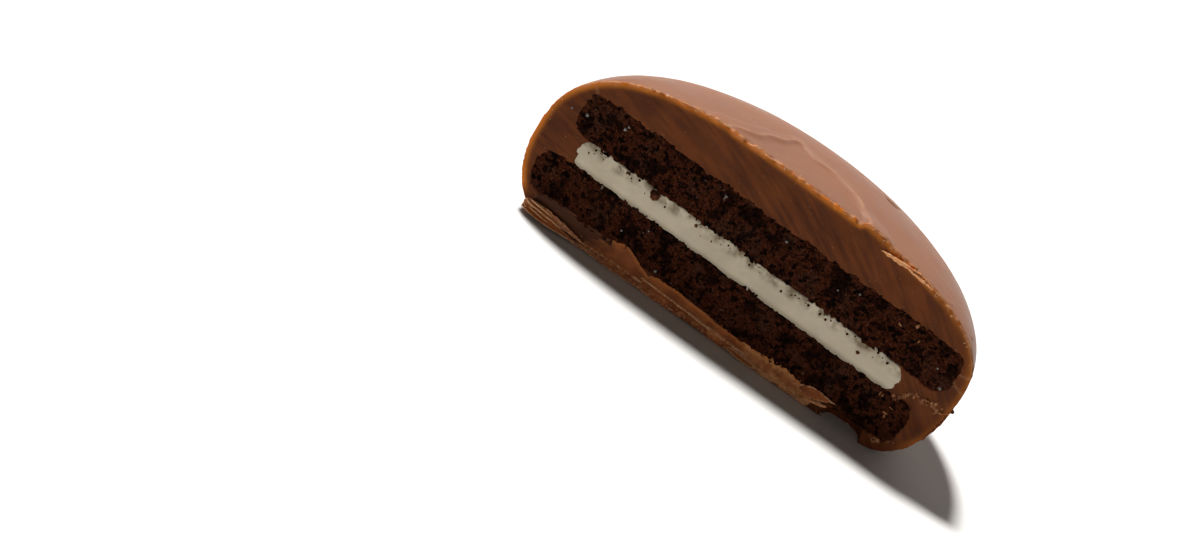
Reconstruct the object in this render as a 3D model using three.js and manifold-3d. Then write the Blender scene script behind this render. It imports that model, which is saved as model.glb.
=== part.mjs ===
// Half of a chocolate-coated sandwich cookie, in millimetres, +Z up.
// The cookie was round: two cocoa wafers with a disc of cream between them, all under a thick
// coat of milk chocolate. It is cut straight through the middle and stands on its flat underside.
// The cut face looks along -Y, and the origin is at the bottom, in the middle of its footprint.
import * as THREE from "three";
import { mergeVertices } from "three/addons/utils/BufferGeometryUtils.js";
import Module from "manifold-3d";

// ---- Coating
const RADIUS = 25.1; // of the whole cookie, at its widest
const HEIGHT = 19.4; // underside to crown
const WIDEST_AT = 8; // height at which the side is widest
const FOOT_RADIUS = 19.6; // of the flat underside
const SHOULDER_POWER = 2.9; // how square the shoulder is: 2 is an ellipse
const SHOULDER_RADIUS = 18; // from here inwards the crown is drawn by its radius
const CROWN_LEAN = 0.75; // the crown is this much higher on the left, and lower on the right
const CROWN_REAR = 0.5; // and this much higher at the back
const CROWN_SHIFT = 0.4; // the crown sits this much right of the foot
const OUT_OF_ROUND = 0.007; // share by which the outline wanders

// ---- The seam left on the crown: a low ridge round a slightly sunken oval
const SEAM_RADIUS = 9.2; // along the cut
const SEAM_SQUASH = 0.18; // share by which the oval is shallower than it is wide
const SEAM_FADE = 10; // outside this radius the crown is less and less squashed
const SEAM_WIDTH = 0.9;
const SEAM_HEIGHT = 0.5;
const DISC_DEPTH = 0.15;

// ---- Sandwich
const WAFER_RADIUS = 22.75;
const WAFER_THICKNESS = 4.5;
const WAFER_EDGE = 1.1; // rounding of a wafer's rim
const WAFER_RELIEF = 0.3; // height of the low bumps on a wafer's outer face
const CREAM_RADIUS = 19.8;
const CREAM_THICKNESS = 2.9;
const CREAM_EDGE = 1.35; // the cream's rim bulges nearly to a half round
const SANDWICH_BASE = 2.2; // chocolate under the lower wafer, at the axis
const SANDWICH_TILT = 1.3; // degrees, down to the right
const TOP_WAFER_SHIFT = 0.6; // the wafers sit a little off each other
const BOTTOM_WAFER_SHIFT = -0.55;
const CREAM_SHIFT = -0.65;
const GAP = 0.3; // clearance between neighbouring solids

// ---- Where the knife left the underside ragged
const LIP_DEPTH = 0.75; // how far the torn lip stands out of the cut face
const LIP_HEIGHT = 0.9;
const LIP_FROM = -21.2;
const LIP_TO = 14.4;
const LIP_WAVES = 5.5;
const CHIP_AT = 16.8; // the missing chip, right of the lip
const CHIP_SIZE = [2.3, 2.6, 1.9];

// ---- Fineness
const ROUND_STEPS = 80; // round the whole cookie
const WAFER_STEPS = 64;
const SIDE_STEPS = 8; // up each arc of the side
const CROWN_STEP = 2.4;
const EDGE_STEPS = 3;
const LIP_STEPS = 28;

const wasm = await Module();
wasm.setup();

// ---- Meshes and solids

// A closed geometry as a solid, with its seams merged and its collapsed triangles dropped.
function solidOf(geometry) {
  const bare = geometry.index ? geometry.toNonIndexed() : geometry.clone();
  bare.deleteAttribute("normal");
  bare.deleteAttribute("uv");
  const merged = mergeVertices(bare, 1e-3);
  const corners = [];
  for (let i = 0; i < merged.index.count; i += 3) {
    const [a, b, c] = merged.index.array.slice(i, i + 3);
    if (a !== b && b !== c && c !== a) corners.push(a, b, c);
  }
  const made = new wasm.Mesh({
    numProp: 3,
    vertProperties: new Float32Array(merged.attributes.position.array),
    triVerts: new Uint32Array(corners),
  });
  return new wasm.Manifold(made);
}

// A solid as a geometry, ready for a THREE.Mesh.
function geometryOf(solid) {
  const mesh = solid.getMesh();
  const places = new Float32Array(mesh.numVert * 3);
  for (let i = 0; i < mesh.numVert; i++) {
    places.set(mesh.vertProperties.subarray(i * mesh.numProp, i * mesh.numProp + 3), i * 3);
  }
  const indexed = new THREE.BufferGeometry();
  indexed.setAttribute("position", new THREE.BufferAttribute(places, 3));
  indexed.setIndex(new THREE.BufferAttribute(mesh.triVerts, 1));
  const geometry = indexed.toNonIndexed();
  geometry.computeVertexNormals();
  return geometry;
}

// Moves every point of a geometry by a function that changes a Vector3 in place.
function reshape(geometry, change) {
  const places = geometry.attributes.position;
  const point = new THREE.Vector3();
  for (let i = 0; i < places.count; i++) {
    change(point.fromBufferAttribute(places, i));
    places.setXYZ(i, point.x, point.y, point.z);
  }
  return geometry;
}

// A body of revolution about +Z from a profile of [radius, height] pairs, from the bottom up.
function turned(profile, steps) {
  const points = profile.map(([radius, height]) => new THREE.Vector2(radius, height));
  return new THREE.LatheGeometry(points, steps).rotateX(Math.PI / 2);
}

// What is behind the knife: the half with y above zero.
function cutInHalf(solid) {
  const size = 4 * RADIUS;
  const front = new THREE.BoxGeometry(size, size, size).translate(0, -size / 2, 0);
  return solid.subtract(solidOf(front));
}

// ---- Coating

const rise = HEIGHT - WIDEST_AT;

// Height of the bare crown at a radius.
function crownHeight(radius) {
  const share = 1 - (radius / RADIUS) ** SHOULDER_POWER;
  return WIDEST_AT + rise * Math.max(share, 0) ** (1 / SHOULDER_POWER);
}

// What the seam's ridge and the sunken disc inside it add to the crown.
function seamHeight(radius) {
  const off = (radius - SEAM_RADIUS) / SEAM_WIDTH;
  const ridge = SEAM_HEIGHT * Math.exp(-off * off);
  const sunk = DISC_DEPTH / (1 + Math.exp(3 * off));
  return ridge - sunk;
}

// From the foot, up the rounded side and over the shoulder to the axis.
function coatingProfile() {
  const profile = [[0, 0]];
  for (let i = 0; i <= SIDE_STEPS; i++) {
    const turn = (i / SIDE_STEPS) * (Math.PI / 2);
    const out = FOOT_RADIUS + (RADIUS - FOOT_RADIUS) * Math.sin(turn);
    profile.push([out, WIDEST_AT * (1 - Math.cos(turn))]);
  }
  const shoulder = crownHeight(SHOULDER_RADIUS);
  for (let i = 1; i < SIDE_STEPS; i++) {
    const share = ((i / SIDE_STEPS) * (shoulder - WIDEST_AT)) / rise;
    const out = RADIUS * (1 - share ** SHOULDER_POWER) ** (1 / SHOULDER_POWER);
    profile.push([out, WIDEST_AT + share * rise]);
  }
  for (const radius of crownRadii()) profile.push([radius, crownHeight(radius) + seamHeight(radius)]);
  return profile;
}

// Even steps over the crown, with closer ones across the seam's ridge.
function crownRadii() {
  const radii = [];
  for (let radius = SHOULDER_RADIUS; radius > 0; radius -= CROWN_STEP) radii.push(radius);
  for (let k = -3; k <= 3; k++) radii.push(SEAM_RADIUS + (k * SEAM_WIDTH) / 2);
  radii.push(0);
  return radii.sort((a, b) => b - a).filter((r, i, all) => i === 0 || all[i - 1] - r > SEAM_WIDTH / 3);
}

// A poured coat is never quite round or level.
function unevenCoat(point) {
  const angle = Math.atan2(point.y, point.x);
  const radius = Math.hypot(point.x, point.y);
  const wander = 0.4 * Math.sin(3 * angle + 0.8) - Math.cos(2 * angle);
  const share = radius / RADIUS;
  const lean = (CROWN_REAR * point.y - CROWN_LEAN * point.x) / RADIUS;
  const scale = 1 + OUT_OF_ROUND * wander * share;
  const crown = point.z > WIDEST_AT ? THREE.MathUtils.smoothstep(-radius, -SHOULDER_RADIUS, -SEAM_FADE) : 0;
  point.x = point.x * scale + CROWN_SHIFT * Math.max((point.z - WIDEST_AT) / rise, 0);
  point.y *= scale * (1 - SEAM_SQUASH * crown);
  point.z += lean * (1 - share ** 6) * (point.z / HEIGHT) ** 2;
}

// The torn lip along the front of the underside, as a wavy strip that starts inside the coat.
function lipGeometry() {
  const outline = new THREE.Shape();
  outline.moveTo(LIP_FROM, LIP_DEPTH);
  for (let i = 0; i <= LIP_STEPS; i++) {
    const share = i / LIP_STEPS;
    const swell = Math.sin(Math.PI * share) ** 0.35;
    const wave = 0.72 + 0.28 * Math.cos(2 * Math.PI * LIP_WAVES * share ** 1.4);
    outline.lineTo(LIP_FROM + (LIP_TO - LIP_FROM) * share, -LIP_DEPTH * swell * wave);
  }
  outline.lineTo(LIP_TO, LIP_DEPTH);
  return new THREE.ExtrudeGeometry(outline, { depth: LIP_HEIGHT, bevelEnabled: false });
}

// What broke off the foot, just right of the lip.
function chipGeometry() {
  return new THREE.IcosahedronGeometry(1, 1).scale(...CHIP_SIZE).translate(CHIP_AT, 0, 0);
}

// ---- Sandwich

// A disc with a rounded rim, from -thickness/2 to thickness/2, grown all over by an amount.
function discProfile(radius, thickness, edge, grown) {
  const half = thickness / 2 + grown;
  const outer = radius + grown;
  const round = Math.min(edge, half);
  const corner = (side) => {
    const points = [];
    for (let i = 0; i <= EDGE_STEPS; i++) {
      const turn = (i / EDGE_STEPS) * (Math.PI / 2);
      points.push([outer - round * (1 - Math.sin(turn)), side * (half - round * (1 - Math.cos(turn)))]);
    }
    return points;
  };
  const face = [0.25, 0.45, 0.65, 0.85].map((share) => share * radius);
  return [
    [0, -half],
    ...face.map((r) => [r, -half]),
    ...corner(-1),
    ...corner(1).reverse(),
    ...face.reverse().map((r) => [r, half]),
    [0, half],
  ];
}

// Low bumps over a wafer's outer face: side is 1 for the upper face, -1 for the lower one.
function bumpyFace(side) {
  return (point) => {
    if (point.z * side < WAFER_THICKNESS / 4) return;
    const bump = Math.sin(point.x * 0.95) * Math.cos(point.y * 0.9) + 0.5 * Math.sin(point.x * 0.41 + 1);
    point.z += (side * WAFER_RELIEF * bump) / 1.5;
  };
}

// One layer of the sandwich: its shape, its place in the stack and its finish.
const creamMiddle = WAFER_THICKNESS + CREAM_THICKNESS / 2;
const topMiddle = creamMiddle + (CREAM_THICKNESS + WAFER_THICKNESS) / 2;
const layers = [
  { name: "wafer_bottom", radius: WAFER_RADIUS, thickness: WAFER_THICKNESS, edge: WAFER_EDGE,
    shift: BOTTOM_WAFER_SHIFT, height: WAFER_THICKNESS / 2, bumps: bumpyFace(-1), finish: "wafer" },
  { name: "cream_filling", radius: CREAM_RADIUS, thickness: CREAM_THICKNESS, edge: CREAM_EDGE,
    shift: CREAM_SHIFT, height: creamMiddle, bumps: null, finish: "cream" },
  { name: "wafer_top", radius: WAFER_RADIUS, thickness: WAFER_THICKNESS, edge: WAFER_EDGE,
    shift: TOP_WAFER_SHIFT, height: topMiddle, bumps: bumpyFace(1), finish: "wafer" },
];

// A whole layer as a solid, at its place in the stack.
function layerSolid(layer, grown) {
  const profile = discProfile(layer.radius, layer.thickness, layer.edge, grown);
  const disc = turned(profile, WAFER_STEPS);
  if (layer.bumps) reshape(disc, layer.bumps);
  return solidOf(disc.translate(layer.shift, 0, layer.height));
}

const finishes = {
  coating: new THREE.MeshStandardMaterial({ color: 0x7a4a32, roughness: 0.45, metalness: 0 }),
  wafer: new THREE.MeshStandardMaterial({ color: 0x2b211c, roughness: 0.95, metalness: 0 }),
  cream: new THREE.MeshStandardMaterial({ color: 0xe6dfc8, roughness: 0.7, metalness: 0 }),
};

function named(name, solid, finish) {
  const mesh = new THREE.Mesh(geometryOf(solid), finishes[finish]);
  mesh.name = name;
  return mesh;
}

// ---- Assembly, with the cookie's own axis at x = 0, y = 0 and the knife's plane at y = 0

const sandwich = new THREE.Group();
sandwich.position.z = SANDWICH_BASE;
sandwich.rotation.y = THREE.MathUtils.degToRad(SANDWICH_TILT);
sandwich.updateMatrix();
for (const layer of layers) {
  sandwich.add(named(layer.name, cutInHalf(layerSolid(layer, -GAP / 2)), layer.finish));
}

const whole = solidOf(reshape(turned(coatingProfile(), ROUND_STEPS), unevenCoat));
let coat = cutInHalf(whole).add(solidOf(lipGeometry())).subtract(solidOf(chipGeometry()));
for (const layer of layers) {
  coat = coat.subtract(layerSolid(layer, GAP / 2).transform(sandwich.matrix.toArray()));
}

const cookie = new THREE.Group();
cookie.add(named("chocolate_coating", coat, "coating"), sandwich);
const footprint = new THREE.Box3().setFromObject(cookie, true);
const middle = footprint.getCenter(new THREE.Vector3());
cookie.position.set(-middle.x, -middle.y, -footprint.min.z);

export default cookie;
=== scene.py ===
"""Half of a chocolate-coated sandwich cookie, dressed as the real food.

The cookie was cut straight through the middle. The cut face looks along -Y and shows two dark cocoa
wafers with a band of cream between them, all inside a thick coat of milk chocolate. The knife left
streaks, crumbs and a torn lip along the underside.
"""
import logging
import math
import random
from dataclasses import dataclass, field, replace
from enum import Enum
from typing import Iterable, Optional, Sequence, Union

import bmesh
import bpy
import numpy as np
from mathutils import Matrix, Vector, noise
from mathutils.bvhtree import BVHTree


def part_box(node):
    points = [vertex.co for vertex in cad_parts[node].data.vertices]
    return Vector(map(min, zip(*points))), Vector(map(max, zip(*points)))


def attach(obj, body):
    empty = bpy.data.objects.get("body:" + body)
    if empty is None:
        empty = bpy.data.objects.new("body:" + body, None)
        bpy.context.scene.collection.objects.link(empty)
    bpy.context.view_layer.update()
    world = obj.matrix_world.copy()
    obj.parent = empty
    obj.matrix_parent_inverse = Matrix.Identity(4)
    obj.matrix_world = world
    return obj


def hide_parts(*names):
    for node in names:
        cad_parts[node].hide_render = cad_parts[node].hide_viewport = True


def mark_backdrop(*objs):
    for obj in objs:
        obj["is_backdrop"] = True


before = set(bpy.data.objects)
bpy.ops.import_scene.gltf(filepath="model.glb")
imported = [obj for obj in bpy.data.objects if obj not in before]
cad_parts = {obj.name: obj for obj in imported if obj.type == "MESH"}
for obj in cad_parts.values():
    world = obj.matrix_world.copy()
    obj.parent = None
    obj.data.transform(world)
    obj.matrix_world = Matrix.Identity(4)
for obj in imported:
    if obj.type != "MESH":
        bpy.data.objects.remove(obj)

LOG = logging.getLogger("cookie")
MM = 0.001
BODY = "root"
KNIFE_CENTRE = (-36 * MM, 0.0, -56 * MM)

Array = np.ndarray
Colour = tuple[float, float, float]


# ---------------------------------------------------------------------------------------------------------
# Modelling helpers
# ---------------------------------------------------------------------------------------------------------


def pick(obj: bpy.types.Object) -> bpy.types.Object:
    """Selects one object and nothing else, and makes it the active one.

    Args:
        obj: The object to select.

    Returns:
        The same object.
    """
    bpy.ops.object.select_all(action="DESELECT")
    obj.select_set(True)
    bpy.context.view_layer.objects.active = obj
    return obj


def added(name: str) -> bpy.types.Object:
    """Names the object that a primitive operator has just added.

    Args:
        name: The new object's name.

    Returns:
        The object, with its transform applied to its mesh.
    """
    obj = bpy.context.active_object
    obj.name = name
    obj.data.name = name
    return settle(obj)


def settle(obj: bpy.types.Object) -> bpy.types.Object:
    """Applies an object's place, turn and scale to its mesh, so that the object sits at the origin.

    Args:
        obj: The object to settle.

    Returns:
        The same object.
    """
    pick(obj)
    bpy.ops.object.transform_apply(location=True, rotation=True, scale=True)
    return obj


def modify(obj: bpy.types.Object, kind: str, **settings: object) -> bpy.types.Object:
    """Adds one modifier to an object and applies it.

    Args:
        obj: The object to change.
        kind: The modifier's type, such as "BEVEL".
        **settings: The modifier's own settings.

    Returns:
        The same object.
    """
    pick(obj)
    modifier = obj.modifiers.new(kind.title(), kind)
    for key, value in settings.items():
        setattr(modifier, key, value)
    bpy.ops.object.modifier_apply(modifier=modifier.name)
    return obj


def copied(obj: bpy.types.Object, name: str) -> bpy.types.Object:
    """Copies an object together with its mesh.

    Args:
        obj: The object to copy.
        name: The copy's name.

    Returns:
        The copy.
    """
    twin = obj.copy()
    twin.data = obj.data.copy()
    twin.name = name
    twin.data.name = name
    bpy.context.scene.collection.objects.link(twin)
    return twin


def discard(*objects: bpy.types.Object) -> None:
    """Removes objects that were only tools for shaping another."""
    for obj in objects:
        bpy.data.objects.remove(obj)


def points_of(obj: bpy.types.Object) -> Array:
    """Reads where a mesh's points are.

    Args:
        obj: The object to read.

    Returns:
        One row for each point.
    """
    flat = np.empty(len(obj.data.vertices) * 3, np.float32)
    obj.data.vertices.foreach_get("co", flat)
    return flat.reshape(-1, 3).astype(float)


def normals_of(obj: bpy.types.Object) -> Array:
    """Reads which way a mesh faces at its points.

    Args:
        obj: The object to read.

    Returns:
        One normal for each point.
    """
    flat = np.empty(len(obj.data.vertices) * 3, np.float32)
    obj.data.vertex_normals.foreach_get("vector", flat)
    return flat.reshape(-1, 3).astype(float)


def move_points(obj: bpy.types.Object, points: Array) -> None:
    """Puts a mesh's points at new places.

    Args:
        obj: The object whose mesh changes.
        points: One row for each point, in the mesh's order.
    """
    obj.data.vertices.foreach_set("co", points.astype(np.float32).ravel())
    obj.data.update()


def paint(obj: bpy.types.Object, name: str, values: Array) -> None:
    """Stores one number at each point of a mesh, for its material to read.

    Args:
        obj: The object to paint.
        name: The attribute's name.
        values: One number for each point.
    """
    layer = obj.data.attributes.new(name, "FLOAT", "POINT")
    layer.data.foreach_set("value", values.astype(np.float32))


def ramp(values: Array, low: float, high: float) -> Array:
    """Returns 0 below low, 1 above high and a smooth step between; low may be the larger one."""
    share = np.clip((values - low) / (high - low), 0.0, 1.0)
    return share * share * (3.0 - 2.0 * share)


def bell(values: Array, middle: float, width: float) -> Array:
    """Returns 1 at the middle and less and less on both sides of it."""
    return np.exp(-((values - middle) / width) ** 2)


def grain(points: Array, size: float, seed: int = 0) -> Array:
    """Returns smooth noise from about -1 to 1 at each point.

    Args:
        points: One row for each point.
        size: The size of the noise's lumps, in metres.
        seed: Which noise of that size.

    Returns:
        One number for each point.
    """
    shift = Vector((17.3, 5.1, 9.7)) * (seed + 1)
    scaled = points / size
    return np.array([noise.noise(Vector(row) + shift) for row in scaled])


def texture(name: str, kind: str, size: float, **settings: object) -> bpy.types.Texture:
    """Makes one of Blender's own procedural textures for a Displace modifier.

    Args:
        name: The texture's name.
        kind: Its type, such as "CLOUDS".
        size: The size of its pattern, in metres.
        **settings: The texture's own settings.

    Returns:
        The texture.
    """
    made = bpy.data.textures.new(name, kind)
    made.noise_scale = size
    for key, value in settings.items():
        setattr(made, key, value)
    return made


def displace(obj: bpy.types.Object, pattern: bpy.types.Texture, height: float) -> None:
    """Moves a mesh's points in and out by a texture.

    Args:
        obj: The object to change.
        pattern: The texture.
        height: How far the points move between black and white, in metres.
    """
    modify(obj, "DISPLACE", texture=pattern, strength=height, mid_level=0.5)


def remesh(obj: bpy.types.Object, size: float) -> bpy.types.Object:
    """Rebuilds a closed mesh from even squares of one size."""
    return modify(obj, "REMESH", mode="VOXEL", voxel_size=size, use_smooth_shade=True)


def thin(obj: bpy.types.Object, chosen: Array, ratio: float) -> bpy.types.Object:
    """Makes a mesh coarser where it is hidden.

    Args:
        obj: The object to change.
        chosen: Which points may go.
        ratio: The share of their faces that stays.

    Returns:
        The same object.
    """
    pick(obj)
    bpy.ops.object.mode_set(mode="EDIT")
    bpy.ops.mesh.select_all(action="DESELECT")
    mesh = bmesh.from_edit_mesh(obj.data)
    for vertex, picked in zip(mesh.verts, chosen.tolist()):
        vertex.select = picked
    mesh.select_flush(True)
    bmesh.update_edit_mesh(obj.data)
    bpy.ops.mesh.decimate(ratio=ratio)
    bpy.ops.object.mode_set(mode="OBJECT")
    return obj


def convexity(obj: bpy.types.Object, rounds: int = 4) -> Array:
    """Measures how far each point stands out of its surroundings.

    Args:
        obj: The object to measure.
        rounds: How often the surroundings are widened by one point.

    Returns:
        One distance for each point, larger on sharper edges.
    """
    points = points_of(obj)
    edges = np.empty(len(obj.data.edges) * 2, np.int32)
    obj.data.edges.foreach_get("vertices", edges)
    first, second = edges.reshape(-1, 2).T
    count = np.bincount(edges, minlength=len(points))[:, None]
    mean = points.copy()
    for _ in range(rounds):
        total = np.zeros_like(mean)
        np.add.at(total, first, mean[second])
        np.add.at(total, second, mean[first])
        mean = total / np.maximum(count, 1)
    return np.einsum("ij,ij->i", points - mean, normals_of(obj))


def halve(obj: bpy.types.Object, cut_y: float) -> bpy.types.Object:
    """Cuts a closed mesh along the knife's plane, keeps what is behind it and closes the cut.

    Args:
        obj: The object to cut.
        cut_y: The knife's plane.

    Returns:
        The same object.
    """
    pick(obj)
    bpy.ops.object.mode_set(mode="EDIT")
    bpy.ops.mesh.select_all(action="SELECT")
    bpy.ops.mesh.bisect(plane_co=(0, cut_y, 0), plane_no=(0, 1, 0), use_fill=True, clear_inner=True,
                        threshold=1e-7)
    bpy.ops.object.mode_set(mode="OBJECT")
    return obj


def cut_away(obj: bpy.types.Object, tool: bpy.types.Object) -> bpy.types.Object:
    """Cuts the space that one closed mesh fills out of another."""
    return modify(obj, "BOOLEAN", operation="DIFFERENCE", object=tool, solver="EXACT")


def joined(pieces: Sequence[bpy.types.Object], name: str) -> bpy.types.Object:
    """Joins objects into one with a single mesh.

    Args:
        pieces: The objects, at least one.
        name: The joined object's name.

    Returns:
        The joined object.
    """
    bpy.ops.object.select_all(action="DESELECT")
    for piece in pieces:
        piece.select_set(True)
    bpy.context.view_layer.objects.active = pieces[0]
    if len(pieces) > 1:
        bpy.ops.object.join()
    obj = bpy.context.active_object
    obj.name = name
    obj.data.name = name
    return obj


# ---------------------------------------------------------------------------------------------------------
# Sizes
# ---------------------------------------------------------------------------------------------------------


@dataclass(frozen=True)
class Layer:
    """One disc of the sandwich.

    Attributes:
        node: The CAD node that the disc stands for.
        thickness: The disc's own thickness.
        edge: The rounding of its rim.
        radius: The disc's radius.
        centre: The middle of the whole disc, on the knife's plane.
    """

    node: str
    thickness: float
    edge: float
    radius: float
    centre: Vector

    @classmethod
    def measured(cls, node: str, thickness: float, edge: float) -> "Layer":
        """Takes a disc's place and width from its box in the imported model.

        Args:
            node: The CAD node that the disc stands for.
            thickness: The disc's own thickness.
            edge: The rounding of its rim.

        Returns:
            The disc's sizes.
        """
        low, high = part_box(node)
        centre = Vector(((low.x + high.x) / 2, low.y, (low.z + high.z) / 2))
        return cls(node, thickness, edge, (high.x - low.x) / 2, centre)


@dataclass(frozen=True)
class CookieShape:
    """The outside of the whole cookie, as a formula.

    Attributes:
        node: The CAD node of the coat.
        cut_y: The knife's plane, on which the wafers end.
        half_width: Half the cookie's width along the cut.
        depth: From the cut to the back.
        crown: The bare crown's height, without the ridge on it.
        foot: Radius of the flat underside.
        flat_share: How much of the ball's lower half becomes the flat underside.
        widest_at: Height at which the side is widest.
        shoulder: How square the shoulder is: 2 is an ellipse.
        lean: How much higher the crown is on the left than in the middle.
        rear: How much higher the crown is at the back.
        shift: How far right of the foot the crown sits.
        seam_radius: Radius of the swirl's ridge on the crown, at the back.
        seam_height: Height of that ridge where it meets the cut.
        disc_depth: How far the disc inside the ridge is sunk.
    """

    node: str
    cut_y: float
    half_width: float
    depth: float
    crown: float
    foot: float = 19.6 * MM
    flat_share: float = 0.45
    widest_at: float = 8.0 * MM
    shoulder: float = 2.9
    lean: float = 0.75 * MM
    rear: float = 0.5 * MM
    shift: float = 0.4 * MM
    seam_radius: float = 7.5 * MM
    seam_height: float = 0.4 * MM
    disc_depth: float = 0.13 * MM

    @classmethod
    def measured(cls, node: str, wafer: str) -> "CookieShape":
        """Takes the cookie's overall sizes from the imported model.

        Args:
            node: The CAD node of the coat.
            wafer: The CAD node of a wafer, which ends on the knife's plane.

        Returns:
            The cookie's sizes.
        """
        low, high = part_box(node)
        cut_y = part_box(wafer)[0].y
        return cls(node, cut_y, (high.x - low.x) / 2, high.y - cut_y, high.z - 0.5 * MM)

    def wrap(self, ball: Array) -> Array:
        """Moves the points of a ball of radius 1 onto the cookie's outside.

        Args:
            ball: Points on the ball, one row each.

        Returns:
            The same points on the cookie, with the cookie's axis on the knife's plane.
        """
        turn = np.arcsin(np.clip(ball[:, 2], -1.0, 1.0)) / (math.pi / 2)
        around = np.hypot(ball[:, 0], ball[:, 1])
        flat = self.flat_share
        below = 1.0 + np.minimum(turn, 0.0)
        side = np.clip((below - flat) / (1.0 - flat), 0.0, 1.0) * math.pi / 2
        radius_low = np.where(below < flat, self.foot * below / flat,
                              self.foot + (self.half_width - self.foot) * np.sin(side))
        height_low = self.widest_at * (1.0 - np.cos(side))
        above = np.maximum(turn, 0.0) * math.pi / 2
        power = 2.0 / self.shoulder
        radius_high = self.half_width * np.cos(above) ** power
        height_high = self.widest_at + (self.crown - self.widest_at) * np.sin(above) ** power
        upper = turn >= 0.0
        radius = np.where(upper, radius_high, radius_low)
        height = np.where(upper, height_high, height_low)
        unit_x = np.divide(ball[:, 0], around, out=np.zeros_like(around), where=around > 1e-9)
        unit_y = np.divide(ball[:, 1], around, out=np.zeros_like(around), where=around > 1e-9)
        x = unit_x * radius
        y = unit_y * radius * self.depth / self.half_width
        share = radius / self.half_width
        tilt = (self.rear * y - self.lean * x) / self.half_width
        height = height + tilt * (1.0 - share ** 6) * (height / self.crown) ** 2
        x = x + self.shift * np.maximum((height - self.widest_at) / (self.crown - self.widest_at), 0.0)
        return np.stack([x, y + self.cut_y, height], axis=1)

    def ridge(self, points: Array) -> tuple[Array, Array]:
        """Finds the swirl's ridge on the crown.

        Args:
            points: Points on the crown, one row each.

        Returns:
            How far outside the ridge's inner foot each point lies, in millimetres, and its direction from the
            crown's middle, in degrees.
        """
        x, y = points[:, 0] / MM, (points[:, 1] - self.cut_y) / MM
        angle = np.degrees(np.arctan2(np.maximum(y, 0.0), x))
        inner = (self.seam_radius / MM + 0.6 * bell(angle, 0, 20) + 1.0 * bell(angle, 180, 16)
                 - 0.8 * bell(angle, 150, 18) + 1.9 * bell(angle, 106, 9)
                 + 0.12 * np.sin(np.radians(angle) * 11))
        return np.hypot(x, y) - inner, angle

    def seam(self, points: Array) -> Array:
        """Returns what the swirl's ridge and the sunken disc add to the crown at each point.

        Args:
            points: Points on the crown, one row each.

        Returns:
            The added heights.
        """
        off, angle = self.ridge(points)
        right = bell(angle, 0, 20)
        band = 0.5 + 1.9 * right + 1.7 * bell(angle, 180, 32)
        wall = np.exp(-(np.minimum(off, 0.0) / (0.45 + 0.35 * bell(angle, 160, 45))) ** 2)
        slope = 1.0 - 0.35 * np.clip(off / band, 0.0, 1.0)
        fall = np.exp(-(np.maximum(off - band, 0.0) / 0.55) ** 2)
        strength = 0.3 + 0.7 * right
        sunk = 1.0 / (1.0 + np.exp(np.clip(4.0 * (off + 0.3), -40.0, 40.0)))
        return self.seam_height * strength * wall * slope * fall - self.disc_depth * sunk


# ---------------------------------------------------------------------------------------------------------
# Shader helpers
# ---------------------------------------------------------------------------------------------------------


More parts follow.
